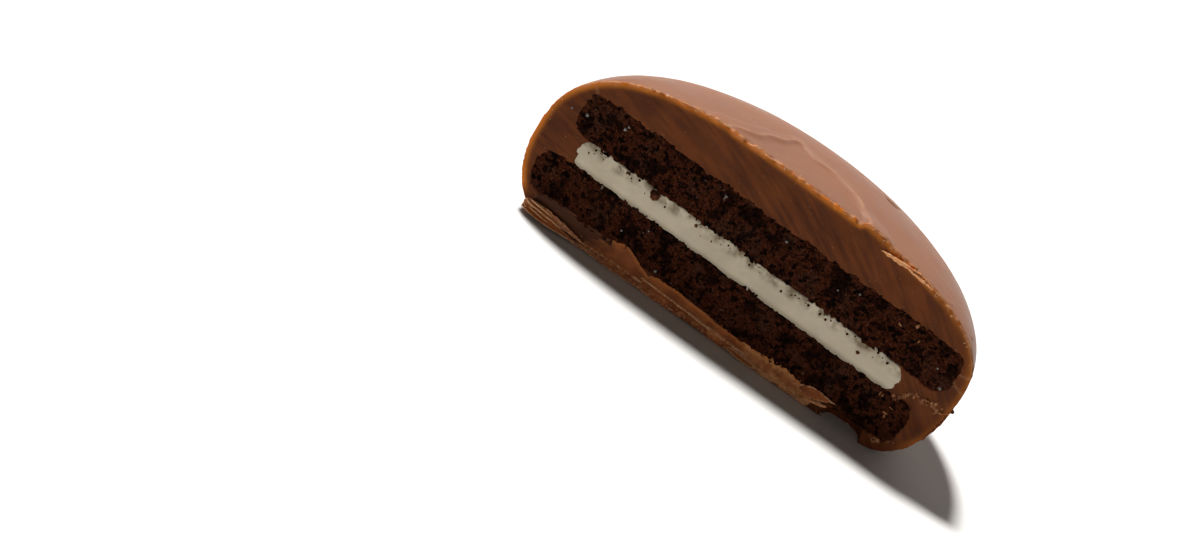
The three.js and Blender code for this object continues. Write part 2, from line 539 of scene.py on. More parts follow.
class Graph:
    """Adds and wires the nodes of one material or node group."""

    def __init__(self, tree: bpy.types.NodeTree) -> None:
        """Starts with an empty tree.

        Args:
            tree: The tree to fill.
        """
        self.tree = tree
        self.tree.nodes.clear()

    def node(self, kind: str, settings: Optional[dict[str, object]] = None,
             **inputs: object) -> bpy.types.Node:
        """Adds a node.

        Args:
            kind: The node's type, without the leading "ShaderNode".
            settings: The node's own settings.
            **inputs: Values or output sockets for its inputs, by name with _ for a space.

        Returns:
            The node.
        """
        made = self.tree.nodes.new("ShaderNode" + kind)
        for key, value in (settings or {}).items():
            setattr(made, key, value)
        for key, value in inputs.items():
            self.feed(made.inputs[key.replace("_", " ")], value)
        return made

    def feed(self, socket: bpy.types.NodeSocket, value: object) -> None:
        """Links an output to an input, or sets the input's own value.

        Args:
            socket: The input.
            value: An output socket, or a plain value.
        """
        if isinstance(value, bpy.types.NodeSocket):
            self.tree.links.new(value, socket)
        elif isinstance(value, tuple) and len(value) == 3 and socket.type == "RGBA":
            socket.default_value = (*value, 1.0)
        else:
            socket.default_value = value

    def maths(self, operation: str, *values: object) -> bpy.types.NodeSocket:
        """Adds a Math node.

        Args:
            operation: What it does, such as "MULTIPLY".
            *values: Values or output sockets for its inputs, in order.

        Returns:
            Its output.
        """
        made = self.tree.nodes.new("ShaderNodeMath")
        made.operation = operation
        for socket, value in zip(made.inputs, values):
            self.feed(socket, value)
        return made.outputs[0]

    def span(self, value: object, low: float, high: float, start: float = 0.0,
             end: float = 1.0) -> bpy.types.NodeSocket:
        """Maps low..high onto start..end with a smooth step.

        Args:
            value: The number to map.
            low: Where the step starts.
            high: Where the step ends.
            start: What low becomes.
            end: What high becomes.

        Returns:
            The mapped number.
        """
        made = self.node("MapRange", {"interpolation_type": "SMOOTHSTEP"}, Value=value)
        for key, number in (("From Min", low), ("From Max", high), ("To Min", start), ("To Max", end)):
            made.inputs[key].default_value = number
        return made.outputs["Result"]

    def mix(self, share: object, first: object, second: object) -> bpy.types.NodeSocket:
        """Mixes two colours.

        Args:
            share: How much of the second.
            first: The first colour.
            second: The second colour.

        Returns:
            The mixed colour.
        """
        made = self.tree.nodes.new("ShaderNodeMix")
        made.data_type = "RGBA"
        self.feed(made.inputs[0], share)
        self.feed(made.inputs[6], first)
        self.feed(made.inputs[7], second)
        return made.outputs[2]

    def place(self) -> bpy.types.NodeSocket:
        """Returns the point's own place in the piece, in metres."""
        return self.node("TexCoord").outputs["Object"]

    def painted(self, name: str) -> bpy.types.NodeSocket:
        """Returns the number that was painted on the piece under a name."""
        return self.node("Attribute", {"attribute_name": name}).outputs["Fac"]

    def clouds(self, vector: object, scale: float, detail: float = 2.0,
               roughness: float = 0.5) -> bpy.types.NodeSocket:
        """Returns cloudy noise from 0 to 1, with scale lumps in a metre."""
        made = self.node("TexNoise", None, Vector=vector, Scale=scale, Detail=detail, Roughness=roughness)
        return made.outputs[0]

    def group(self, tree: bpy.types.NodeTree, **inputs: object) -> bpy.types.Node:
        """Places a node group.

        Args:
            tree: The group.
            **inputs: Values or output sockets for its inputs.

        Returns:
            The group node.
        """
        made = self.tree.nodes.new("ShaderNodeGroup")
        made.node_tree = tree
        for key, value in inputs.items():
            self.feed(made.inputs[key.replace("_", " ")], value)
        return made


class Effect(Enum):
    """The surface effects that several finishes share."""

    FLECKS = "flecks"
    KNIFE = "knife_streaks"
    MOTTLE = "mottle"


class Effects:
    """Builds each shared effect once, as a node group."""

    def __init__(self, knife_centre: tuple[float, float, float]) -> None:
        """Remembers the sizes that the effects need.

        Args:
            knife_centre: The point that the knife's streaks curve round.
        """
        self.knife_centre = knife_centre
        self.built: dict[Effect, bpy.types.NodeTree] = {}

    def get(self, effect: Effect) -> bpy.types.NodeTree:
        """Returns the node group of an effect, building it the first time.

        Args:
            effect: Which effect.

        Returns:
            Its node group.
        """
        if effect not in self.built:
            builder = {Effect.FLECKS: self.flecks, Effect.KNIFE: self.knife, Effect.MOTTLE: self.mottle}
            self.built[effect] = builder[effect]()
        return self.built[effect]

    @staticmethod
    def start(effect: Effect, inputs: dict[str, tuple[str, float]],
              outputs: Sequence[str]) -> tuple[Graph, bpy.types.Node, bpy.types.Node]:
        """Makes an empty group with named sockets.

        Args:
            effect: Which effect.
            inputs: For each input its kind, "Float" or "Vector", and its default.
            outputs: The names of the outputs, all numbers.

        Returns:
            The graph, the group's input node and its output node.
        """
        tree = bpy.data.node_groups.new(effect.value, "ShaderNodeTree")
        for name, (kind, default) in inputs.items():
            socket = tree.interface.new_socket(name, in_out="INPUT", socket_type="NodeSocket" + kind)
            if kind == "Float":
                socket.default_value = default
        for name in outputs:
            tree.interface.new_socket(name, in_out="OUTPUT", socket_type="NodeSocketFloat")
        graph = Graph(tree)
        entry = tree.nodes.new("NodeGroupInput")
        leave = tree.nodes.new("NodeGroupOutput")
        return graph, entry, leave

    def flecks(self) -> bpy.types.NodeTree:
        """Small sparse specks: one in a share of the cells of a given scale.

        Returns:
            The node group.
        """
        ripple, waver, crisp = 3.5, 0.42, 12.0
        graph, entry, leave = self.start(
            Effect.FLECKS,
            {"Vector": ("Vector", 0.0), "Scale": ("Float", 1000.0), "Share": ("Float", 0.2),
             "Size": ("Float", 0.2)},
            ["Mask"])
        finer = graph.maths("MULTIPLY", entry.outputs["Scale"], ripple)
        noisy = graph.node("TexNoise", None, Vector=entry.outputs["Vector"], Scale=finer, Detail=2.0)
        reach = graph.maths("DIVIDE", waver, entry.outputs["Scale"])
        stretch = graph.node("VectorMath", {"operation": "SCALE"}, Scale=reach)
        graph.feed(stretch.inputs[0], noisy.outputs["Color"])
        bent = graph.node("VectorMath", {"operation": "ADD"})
        graph.feed(bent.inputs[0], entry.outputs["Vector"])
        graph.feed(bent.inputs[1], stretch.outputs[0])
        cells = graph.node("TexVoronoi", {"feature": "F1"}, Vector=bent.outputs[0],
                           Scale=entry.outputs["Scale"])
        chosen = graph.maths("LESS_THAN", graph.node("SeparateColor", None, Color=cells.outputs["Color"])
                             .outputs[0], entry.outputs["Share"])
        inside = graph.maths("SUBTRACT", entry.outputs["Size"], cells.outputs["Distance"])
        soft = graph.maths("MULTIPLY", inside, crisp)
        clipped = graph.node("Clamp", None, Value=soft).outputs[0]
        graph.feed(leave.inputs["Mask"], graph.maths("MULTIPLY", clipped, chosen))
        return graph.tree

    def knife(self) -> bpy.types.NodeTree:
        """Long curved streaks, as a blade drags them through firm chocolate.

        Returns:
            The node group.
        """
        breaks = 11.0
        graph, entry, leave = self.start(
            Effect.KNIFE, {"Vector": ("Vector", 0.0), "Scale": ("Float", 1500.0)}, ["Streaks"])
        away = graph.node("VectorMath", {"operation": "SUBTRACT"})
        graph.feed(away.inputs[0], entry.outputs["Vector"])
        away.inputs[1].default_value = self.knife_centre
        parts = graph.node("SeparateXYZ", None, Vector=away.outputs[0])
        squared = graph.maths("ADD", graph.maths("MULTIPLY", parts.outputs["X"], parts.outputs["X"]),
                              graph.maths("MULTIPLY", parts.outputs["Z"], parts.outputs["Z"]))
        radius = graph.maths("SQRT", squared)
        angle = graph.maths("ARCTAN2", parts.outputs["Z"], parts.outputs["X"])
        across = graph.maths("MULTIPLY", radius, entry.outputs["Scale"])
        along = graph.maths("MULTIPLY", angle, breaks)
        where = graph.node("CombineXYZ", None, X=across, Y=along)
        streaks = graph.node("TexNoise", {"noise_dimensions": "2D"}, Vector=where.outputs[0], Scale=1.0,
                             Detail=3.0, Roughness=0.6)
        graph.feed(leave.inputs["Streaks"], streaks.outputs[0])
        return graph.tree

    def mottle(self) -> bpy.types.NodeTree:
        """Soft blotches with a finer grain over them.

        Returns:
            The node group.
        """
        fineness = 30.0
        graph, entry, leave = self.start(
            Effect.MOTTLE, {"Vector": ("Vector", 0.0), "Scale": ("Float", 200.0)}, ["Blotch", "Grain"])
        blotch = graph.node("TexNoise", None, Vector=entry.outputs["Vector"], Scale=entry.outputs["Scale"],
                            Detail=3.0)
        finer = graph.maths("MULTIPLY", entry.outputs["Scale"], fineness)
        speckle = graph.node("TexNoise", None, Vector=entry.outputs["Vector"], Scale=finer, Detail=2.0)
        graph.feed(leave.inputs["Blotch"], blotch.outputs[0])
        graph.feed(leave.inputs["Grain"], speckle.outputs[0])
        return graph.tree


# ---------------------------------------------------------------------------------------------------------
# Finishes
# ---------------------------------------------------------------------------------------------------------


@dataclass(frozen=True)
class Finish:
    """What every finish has.

    Attributes:
        name: The material's name.
        roughness: The middle of its roughness.
        gloss: Its specular level.
    """

    name: str
    roughness: float
    gloss: float

    def start(self) -> tuple[bpy.types.Material, Graph, bpy.types.Node]:
        """Makes the material with its shader and output.

        Returns:
            The material, its graph and its Principled shader.
        """
        material = bpy.data.materials.new(self.name)
        material.use_nodes = True
        graph = Graph(material.node_tree)
        shader = graph.node("BsdfPrincipled", None, Roughness=self.roughness)
        shader.inputs["Specular IOR Level"].default_value = self.gloss
        output = graph.node("OutputMaterial")
        graph.feed(output.inputs["Surface"], shader.outputs[0])
        return material, graph, shader

    @staticmethod
    def soak(shader: bpy.types.Node, weight: float, depth: float, spread: Colour) -> None:
        """Lets light soak into the surface.

        Args:
            shader: The Principled shader.
            weight: How much of the light soaks in.
            depth: How far it goes, in metres.
            spread: How far red, green and blue go, as shares of the depth.
        """
        shader.inputs["Subsurface Weight"].default_value = weight
        shader.inputs["Subsurface Scale"].default_value = depth
        shader.inputs["Subsurface Radius"].default_value = spread

    @staticmethod
    def bump(graph: Graph, shader: bpy.types.Node, layers: Iterable[tuple[object, float]]) -> None:
        """Stacks fine reliefs on the surface.

        Args:
            graph: The material's graph.
            shader: The Principled shader.
            layers: A height from 0 to 1 and what 1 is in metres, for each relief.
        """
        normal: object = None
        for height, depth in layers:
            relief = graph.node("Bump", None, Height=height, Strength=1.0, Distance=depth)
            if normal is not None:
                graph.feed(relief.inputs["Normal"], normal)
            normal = relief.outputs[0]
        graph.feed(shader.inputs["Normal"], normal)


@dataclass(frozen=True)
class SkinFinish(Finish):
    """The outside of the coat: satin milk chocolate, set smooth.

    Attributes:
        light: The paler of its two browns.
        dark: The deeper one.
        fleck_and_ridge_highlight: The tiny pale flecks in it, and the painted highlight along the ridge on
            the crown.
        speck: The rare dark specks, and the painted shade in the nick.
    """

    light: Colour = (0.2, 0.07, 0.026)
    dark: Colour = (0.178, 0.061, 0.0222)
    fleck_and_ridge_highlight: Colour = (0.5, 0.29, 0.18)
    speck: Colour = (0.07, 0.03, 0.015)

    def build(self, effects: Effects) -> bpy.types.Material:
        """Builds the material.

        Args:
            effects: The shared effects.

        Returns:
            The material.
        """
        material, graph, shader = self.start()
        place = graph.place()
        mottle = graph.group(effects.get(Effect.MOTTLE), Vector=place, Scale=170.0)
        colour = graph.mix(graph.span(mottle.outputs["Blotch"], 0.35, 0.65), self.dark, self.light)
        # Painted highlight: a thin pale line along the ridge on the crown, where its wall catches the light.
        colour = graph.mix(graph.maths("MULTIPLY", graph.painted("ridge_highlight"), 0.4), colour, self.fleck_and_ridge_highlight)
        pale = graph.group(effects.get(Effect.FLECKS), Vector=place, Scale=1500.0, Share=0.16, Size=0.13)
        colour = graph.mix(graph.maths("MULTIPLY", pale.outputs["Mask"], 0.6), colour, self.fleck_and_ridge_highlight)
        dark = graph.group(effects.get(Effect.FLECKS), Vector=place, Scale=1100.0, Share=0.11, Size=0.13)
        colour = graph.mix(dark.outputs["Mask"], colour, self.speck)
        # Painted shade: the nick on the crown is darkened with the speck colour.
        colour = graph.mix(graph.painted("slit"), colour, self.speck)
        graph.feed(shader.inputs["Base Color"], colour)
        rough = graph.span(mottle.outputs["Blotch"], 0.3, 0.7, self.roughness - 0.05, self.roughness + 0.07)
        graph.feed(shader.inputs["Roughness"], graph.maths("MAXIMUM", rough, graph.painted("slit")))
        self.soak(shader, 0.25, 0.7 * MM, (1.0, 0.42, 0.2))
        self.bump(graph, shader, [(mottle.outputs["Grain"], 0.02 * MM), (pale.outputs["Mask"], 0.03 * MM)])
        return material


@dataclass(frozen=True)
class CutFinish(Finish):
    """Milk chocolate where the knife went through it.

    Attributes:
        light: The paler of its two browns.
        dark: The deeper one.
        glow: The thin edge, where light comes through.
        chalk: The crumbled white edge.
        speck: The pale specks in it.
    """

    light: Colour = (0.148, 0.04, 0.0092)
    dark: Colour = (0.075, 0.0182, 0.0036)
    glow: Colour = (0.54, 0.165, 0.015)
    chalk: Colour = (0.46, 0.24, 0.12)
    speck: Colour = (0.33, 0.17, 0.095)

    def build(self, effects: Effects) -> bpy.types.Material:
        """Builds the material.

        Args:
            effects: The shared effects.

        Returns:
            The material.
        """
        material, graph, shader = self.start()
        place = graph.place()
        streaks = graph.group(effects.get(Effect.KNIFE), Vector=place, Scale=1300.0).outputs["Streaks"]
        fine = graph.group(effects.get(Effect.KNIFE), Vector=place, Scale=5200.0).outputs["Streaks"]
        mottle = graph.group(effects.get(Effect.MOTTLE), Vector=place, Scale=260.0)
        share = graph.maths("ADD", graph.span(streaks, 0.38, 0.64, 0.0, 0.6),
                            graph.span(mottle.outputs["Blotch"], 0.35, 0.65, 0.0, 0.4))
        colour = graph.mix(share, self.dark, self.light)
        colour = graph.mix(graph.span(fine, 0.58, 0.75, 0.0, 0.25), colour, self.light)
        flecks = graph.group(effects.get(Effect.FLECKS), Vector=place, Scale=1700.0, Share=0.4, Size=0.13)
        colour = graph.mix(graph.maths("MULTIPLY", flecks.outputs["Mask"], 0.55), colour, self.speck)
        colour = graph.mix(graph.painted("rim"), colour, self.glow)
        colour = graph.mix(graph.painted("chalk"), colour, self.chalk)
        graph.feed(shader.inputs["Base Color"], colour)
        rough = graph.span(streaks, 0.3, 0.7, self.roughness - 0.08, self.roughness + 0.1)
        graph.feed(shader.inputs["Roughness"], rough)
        self.soak(shader, 0.3, 0.8 * MM, (1.0, 0.38, 0.12))
        self.bump(graph, shader, [(streaks, 0.03 * MM), (fine, 0.012 * MM),
                                  (mottle.outputs["Grain"], 0.01 * MM)])
        return material


@dataclass(frozen=True)
class ScrapFinish(Finish):
    """Chocolate that was dragged and torn: plain faces, pale torn edges and glowing thin ones.

    Attributes:
        light: The paler of its two browns.
        dark: The deeper one.
        film: Where it is only a film over the crumb.
        pale: Where it is crumbled; on the thin strands of the lip it is a painted highlight.
        torn: Its torn edges.
        glow: Its thin edges, where light comes through.
    """

    light: Colour = (0.38, 0.113, 0.028)
    dark: Colour = (0.22, 0.058, 0.014)
    film: Colour = (0.056, 0.017, 0.0065)
    pale: Colour = (0.74, 0.34, 0.13)
    torn: Colour = (0.68, 0.39, 0.22)
    glow: Colour = (0.46, 0.14, 0.026)

    def build(self, effects: Effects) -> bpy.types.Material:
        """Builds the material.

        Args:
            effects: The shared effects.

        Returns:
            The material.
        """
        material, graph, shader = self.start()
        place = graph.place()
        mottle = graph.group(effects.get(Effect.MOTTLE), Vector=place, Scale=600.0)
        tone = graph.painted("tone")
        colour = graph.mix(graph.span(mottle.outputs["Blotch"], 0.35, 0.65), self.dark, self.light)
        colour = graph.mix(graph.span(tone, 0.0, -1.0), colour, self.film)
        powder = graph.maths("MULTIPLY", graph.span(tone, 0.0, 1.0),
                             graph.span(mottle.outputs["Grain"], 0.35, 0.6, 0.35, 1.0))
        colour = graph.mix(powder, colour, self.pale)
        colour = graph.mix(graph.painted("glow"), colour, self.glow)
        edge = graph.maths("MULTIPLY", graph.painted("edge"),
                           graph.span(mottle.outputs["Grain"], 0.35, 0.6, 0.15, 1.0))
        colour = graph.mix(edge, colour, self.torn)
        graph.feed(shader.inputs["Base Color"], colour)
        self.soak(shader, 0.2, 0.5 * MM, (1.0, 0.42, 0.18))
        self.bump(graph, shader, [(mottle.outputs["Grain"], 0.012 * MM)])
        return material


@dataclass(frozen=True)
class FlakeFinish(Finish):
    """Pale crumbled chocolate.

    Attributes:
        light: The paler of its two browns.
        dark: The deeper one.
    """

    light: Colour = (0.37, 0.18, 0.085)
    dark: Colour = (0.24, 0.085, 0.026)

    def build(self, effects: Effects) -> bpy.types.Material:
        """Builds the material.

        Args:
            effects: The shared effects.

        Returns:
            The material.
        """
        material, graph, shader = self.start()
        mottle = graph.group(effects.get(Effect.MOTTLE), Vector=graph.place(), Scale=2500.0)
        graph.feed(shader.inputs["Base Color"],
                   graph.mix(graph.span(mottle.outputs["Blotch"], 0.35, 0.65), self.dark, self.light))
        return material


@dataclass(frozen=True)
class SugarFinish(Finish):
    """Clear, greyish sugar.

    Attributes:
        colour: Its colour.
    """

    colour: Colour = (0.18, 0.165, 0.155)

    def build(self) -> bpy.types.Material:
        """Builds the material.

        Returns:
            The material.
        """
        material, graph, shader = self.start()
        graph.feed(shader.inputs["Base Color"], self.colour)
        return material


@dataclass(frozen=True)
class WaferFinish(Finish):
    """Baked cocoa crumb, nearly black, full of pores.

    Attributes:
        cut_y: The knife's plane, from which the pits are measured for their painted shade.
        crumb: The crumb's brown where it stands proud.
        deep: The painted shade at the bottom of the pores and in the pits.
        ash: The paler grains.
        dry: The greyish patches.
        sugar: The rare sugar grains.
    """

    cut_y: float = 0.0
    crumb: Colour = (0.035, 0.0085, 0.0039)
    deep: Colour = (0.0034, 0.0014, 0.001)
    ash: Colour = (0.11, 0.035, 0.0145)
    dry: Colour = (0.033, 0.018, 0.0125)
    sugar: Colour = (0.3, 0.26, 0.24)

    def build(self, effects: Effects) -> bpy.types.Material:
        """Builds the material.

        Args:
            effects: The shared effects.

        Returns:
            The material.
        """
        material, graph, shader = self.start()
        place = graph.place()
        fine = graph.clouds(place, 6000.0, 4.0, 0.7)
        lumps = graph.clouds(place, 2000.0, 3.0, 0.6)
        patches = graph.clouds(place, 330.0, 3.0, 0.6)
        colour = graph.mix(graph.span(patches, 0.48, 0.68, 0.0, 0.55), self.crumb, self.dry)
        colour = graph.mix(graph.span(fine, 0.47, 0.7), colour, self.ash)
        # Painted shade: the pores, and larger patches of them, are darkened towards black.
        pore = graph.span(lumps, 0.52, 0.38)
        colour = graph.mix(pore, colour, self.deep)
        shade = graph.span(graph.clouds(place, 620.0, 3.0, 0.6), 0.5, 0.38, 0.0, 0.8)
        colour = graph.mix(shade, colour, self.deep)
        # Painted shade: the deeper a point lies behind the cut, the darker it is painted.
        height = graph.node("SeparateXYZ", None, Vector=place).outputs["Y"]
        sunk = graph.span(height, self.cut_y + 0.03 * MM, self.cut_y + 0.34 * MM, 0.0, 0.85)
        colour = graph.mix(sunk, colour, self.deep)
        grains = graph.group(effects.get(Effect.FLECKS), Vector=place, Scale=640.0, Share=0.018, Size=0.16)
        colour = graph.mix(graph.maths("MULTIPLY", grains.outputs["Mask"], 0.7), colour, self.sugar)
        graph.feed(shader.inputs["Base Color"], colour)
        self.bump(graph, shader, [(lumps, 0.16 * MM), (fine, 0.07 * MM)])
        return material


@dataclass(frozen=True)
class CreamFinish(Finish):
    """Pale sweet cream, smooth where the knife went through.

    Attributes:
        light: The paler of its two ivories.
        dark: The deeper one.
        cocoa_stain_and_shade: Cocoa rubbed into it and painted shade near its top edge, and painted shade
            along its lower edge.
    """

    light: Colour = (0.585, 0.52, 0.395)
    dark: Colour = (0.52, 0.46, 0.345)
    cocoa_stain_and_shade: Colour = (0.15, 0.105, 0.055)

    def build(self, effects: Effects) -> bpy.types.Material:
        """Builds the material.

        Args:
            effects: The shared effects.

        Returns:
            The material.
        """
        material, graph, shader = self.start()
        place = graph.place()
        mottle = graph.group(effects.get(Effect.MOTTLE), Vector=place, Scale=300.0)
        colour = graph.mix(graph.span(mottle.outputs["Blotch"], 0.35, 0.65), self.dark, self.light)
        specks = graph.group(effects.get(Effect.FLECKS), Vector=place, Scale=1700.0, Share=0.15, Size=0.14)
        colour = graph.mix(graph.maths("MULTIPLY", specks.outputs["Mask"], 0.35), colour, self.cocoa_stain_and_shade)
        # Near the top edge, cocoa rubbed in and painted shade; along the lower edge, painted shade only.
        colour = graph.mix(graph.painted("cocoa_stain_and_shade"), colour, self.cocoa_stain_and_shade)
        graph.feed(shader.inputs["Base Color"], colour)
        self.soak(shader, 0.35, 1.1 * MM, (1.0, 0.8, 0.5))
        self.bump(graph, shader, [(mottle.outputs["Blotch"], 0.06 * MM),
                                  (mottle.outputs["Grain"], 0.01 * MM)])
        return material


# ---------------------------------------------------------------------------------------------------------
# The cookie
# ---------------------------------------------------------------------------------------------------------


def dressed(obj: bpy.types.Object, materials: Sequence[bpy.types.Material], slot: str,
            *nodes: str) -> bpy.types.Object:
    """Gives a piece its materials and its place in the frame.

    Args:
        obj: The finished mesh.
        materials: Its materials.
        slot: Not used.
        *nodes: The CAD nodes that it stands for.

    Returns:
        The same object.
    """
    obj.data.materials.clear()
    for material in materials:
        obj.data.materials.append(material)
    obj.vertex_groups.clear()
    obj.data.polygons.foreach_set("use_smooth", [True] * len(obj.data.polygons))
    obj.data.update()
    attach(obj, BODY)
    if nodes:
        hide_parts(*nodes)
    triangles = sum(len(face.vertices) - 2 for face in obj.data.polygons)
    LOG.info("%s: %d triangles", obj.name, triangles)
    return obj


@dataclass
class Sandwich:
    """The two wafers and the cream, and the pocket that they fill in the coat.

    Attributes:
        cut_y: The knife's plane.
        tilt: How far the stack leans down to the right.
        steps: How many sides a disc has before it is rounded.
        emboss: Height of the pattern pressed into the wafers' faces.
        emboss_pitch: Distance from one raised patch of it to the next.
        fineness: Size of the squares that a cut face is made of.
        pocket_fit: How much smaller than the wafers their pocket is, all over.
        cream_lap: How much thicker than the cream its pocket is, so that the wafers close it.
    """

    cut_y: float
    tilt: float = math.radians(1.3)
    steps: int = 120
    emboss: float = 0.3 * MM
    emboss_pitch: float = 3.7 * MM
    fineness: float = 0.11 * MM
    pocket_fit: float = 0.14 * MM
    cream_lap: float = 0.9 * MM
    top: Layer = field(default_factory=lambda: Layer.measured("wafer_top", 4.7 * MM, 1.2 * MM))
    bottom: Layer = field(default_factory=lambda: Layer.measured("wafer_bottom", 4.65 * MM, 1.3 * MM))
    cream: Layer = field(default_factory=lambda: Layer.measured("cream_filling", 2.85 * MM, 1.2 * MM))

    def disc(self, layer: Layer, name: str, grown: float = 0.0) -> bpy.types.Object:
        """Models a whole disc of the stack with its rim rounded.

        Args:
            layer: Which disc.
            name: The object's name.
            grown: How much bigger it is all over.

        Returns:
            The disc, made of even squares.
        """
        bpy.ops.object.select_all(action="DESELECT")
        bpy.ops.mesh.primitive_cylinder_add(vertices=self.steps, radius=layer.radius + grown,
                                            depth=layer.thickness + 2 * grown, location=(0, 0, 0))
        obj = added(name)
        bpy.ops.object.mode_set(mode="EDIT")
        mesh = bmesh.from_edit_mesh(obj.data)
        for edge in mesh.edges:
            edge.select = abs(edge.verts[0].co.z - edge.verts[1].co.z) < 1e-6
        mesh.select_flush(True)
        bmesh.update_edit_mesh(obj.data)
        bpy.ops.mesh.bevel(offset=layer.edge, segments=5, affect="EDGES")
        bpy.ops.object.mode_set(mode="OBJECT")
        remesh(obj, 0.4 * MM)
        return obj

    def wafer(self, layer: Layer, name: str, grown: float = 0.0) -> bpy.types.Object:
        """Models a whole wafer, with its pressed pattern and its uneven rim, in place.

        Args:
            layer: Which wafer.
            name: The object's name.
            grown: How much bigger it is all over.

        Returns:
            The wafer.
        """
        obj = self.disc(layer, name, grown)
        points = points_of(obj)
        pitch = 2 * math.pi / self.emboss_pitch
        patches = np.sin(points[:, 0] * pitch + 0.7) + np.cos(points[:, 1] * pitch)
        raised = ramp(patches, -0.7, 0.5) - 0.5
        face = ramp(np.abs(points[:, 2]) / layer.thickness, 0.35, 0.48)
        outer = np.sign(points[:, 2]) == (1 if layer is self.top else -1)
        points[:, 2] += np.where(outer, np.sign(points[:, 2]) * face * raised * self.emboss, 0.0)
        move_points(obj, points)
        self.lay(obj, layer)
        displace(obj, texture(name + "_swell", "CLOUDS", 2.6 * MM, noise_depth=1), 0.75 * MM)
        displace(obj, texture(name + "_bite", "CLOUDS", 0.9 * MM, noise_depth=1), 0.3 * MM)
        return obj

    def slab(self, layer: Layer, name: str, grown: float = 0.0) -> bpy.types.Object:
        """Models a whole disc of cream, in place.

        Args:
            layer: The disc's sizes.
            name: The object's name.
            grown: How much bigger it is all over.

        Returns:
            The cream.
        """
        obj = self.disc(layer, name, grown)
        self.lay(obj, layer)
        displace(obj, texture(name + "_swell", "CLOUDS", 1.9 * MM, noise_depth=1), 0.45 * MM)
        return obj

    def lay(self, obj: bpy.types.Object, layer: Layer) -> None:
        """Tilts a disc and puts it at its place in the stack.

        Args:
            obj: The disc, still at the origin.
            layer: Which disc it is.
        """
        obj.rotation_euler = (0.0, self.tilt, 0.0)
        obj.location = layer.centre
        settle(obj)

    def cores(self) -> list[bpy.types.Object]:
        """Models the discs a little too small, to cut the coat's pocket with.

        Returns:
            The three whole discs.
        """
        cream = replace(self.cream, thickness=self.cream.thickness + self.cream_lap,
                        radius=self.cream.radius - 0.35 * MM)
        return [self.wafer(self.bottom, "pocket_bottom", -self.pocket_fit),
                self.wafer(self.top, "pocket_top", -self.pocket_fit),
                self.slab(cream, "pocket_cream")]

    def bake_wafer(self, layer: Layer, finish: bpy.types.Material) -> bpy.types.Object:
        """Makes one half wafer with its crumb.

        Args:
            layer: Which wafer.
            finish: Its material.

        Returns:
            The finished piece.
        """
        obj = halve(self.wafer(layer, layer.node + "_crumb"), self.cut_y)
        remesh(obj, self.fineness)
        thin(obj, points_of(obj)[:, 1] > self.cut_y + 0.9 * MM, 0.04)
        for name, kind, size, height, settings in (
            ("lump", "CLOUDS", 0.8, 0.32, {"noise_depth": 2}),
            ("pore", "VORONOI", 0.42, 0.26, {}),
            ("grit", "CLOUDS", 0.2, 0.24, {"noise_depth": 1}),
        ):
            displace(obj, texture(f"{layer.node}_{name}", kind, size * MM, **settings), height * MM)
        points = points_of(obj)
        points[:, 1] = np.maximum(points[:, 1], self.cut_y - 0.12 * MM)
        move_points(obj, points)
        return dressed(obj, [finish], "wafer", layer.node)

    def spread_cream(self, finish: bpy.types.Material) -> bpy.types.Object:
        """Makes the half disc of cream.

        Args:
            finish: Its material.

        Returns:
            The finished piece.
        """
        obj = halve(self.slab(self.cream, "cream_filling_smooth", 0.1 * MM), self.cut_y)
        remesh(obj, 0.14 * MM)
        thin(obj, points_of(obj)[:, 1] > self.cut_y + 0.9 * MM, 0.06)
        displace(obj, texture("cream_ripple", "CLOUDS", 1.1 * MM, noise_depth=2), 0.1 * MM)
        points = points_of(obj)
        points[:, 1] = np.maximum(points[:, 1], self.cut_y - 0.06 * MM)
        move_points(obj, points)
        # Browns the cream's top edge, partly as cocoa rubbed in and partly as painted shade, and darkens its
        # lower edge with painted shade.
        height = points[:, 2] - self.cream_line(points[:, 0])
        blotch = 0.32 + 1.1 * grain(points, 1.3 * MM, 3) + 0.5 * grain(points, 0.3 * MM, 12)
        under = ramp(height, -0.8 * MM, -1.5 * MM) * 0.5
        paint(obj, "cocoa_stain_and_shade", np.clip(ramp(height, 0.0, 1.2 * MM) * blotch, 0.0, 0.85) + under)
        return dressed(obj, [finish], "cream", self.cream.node)

    def cream_line(self, x: Array) -> Array:
        """Returns the height of the cream band's middle at places along the cut."""
        return self.cream.centre.z - (x - self.cream.centre.x) * math.tan(self.tilt)


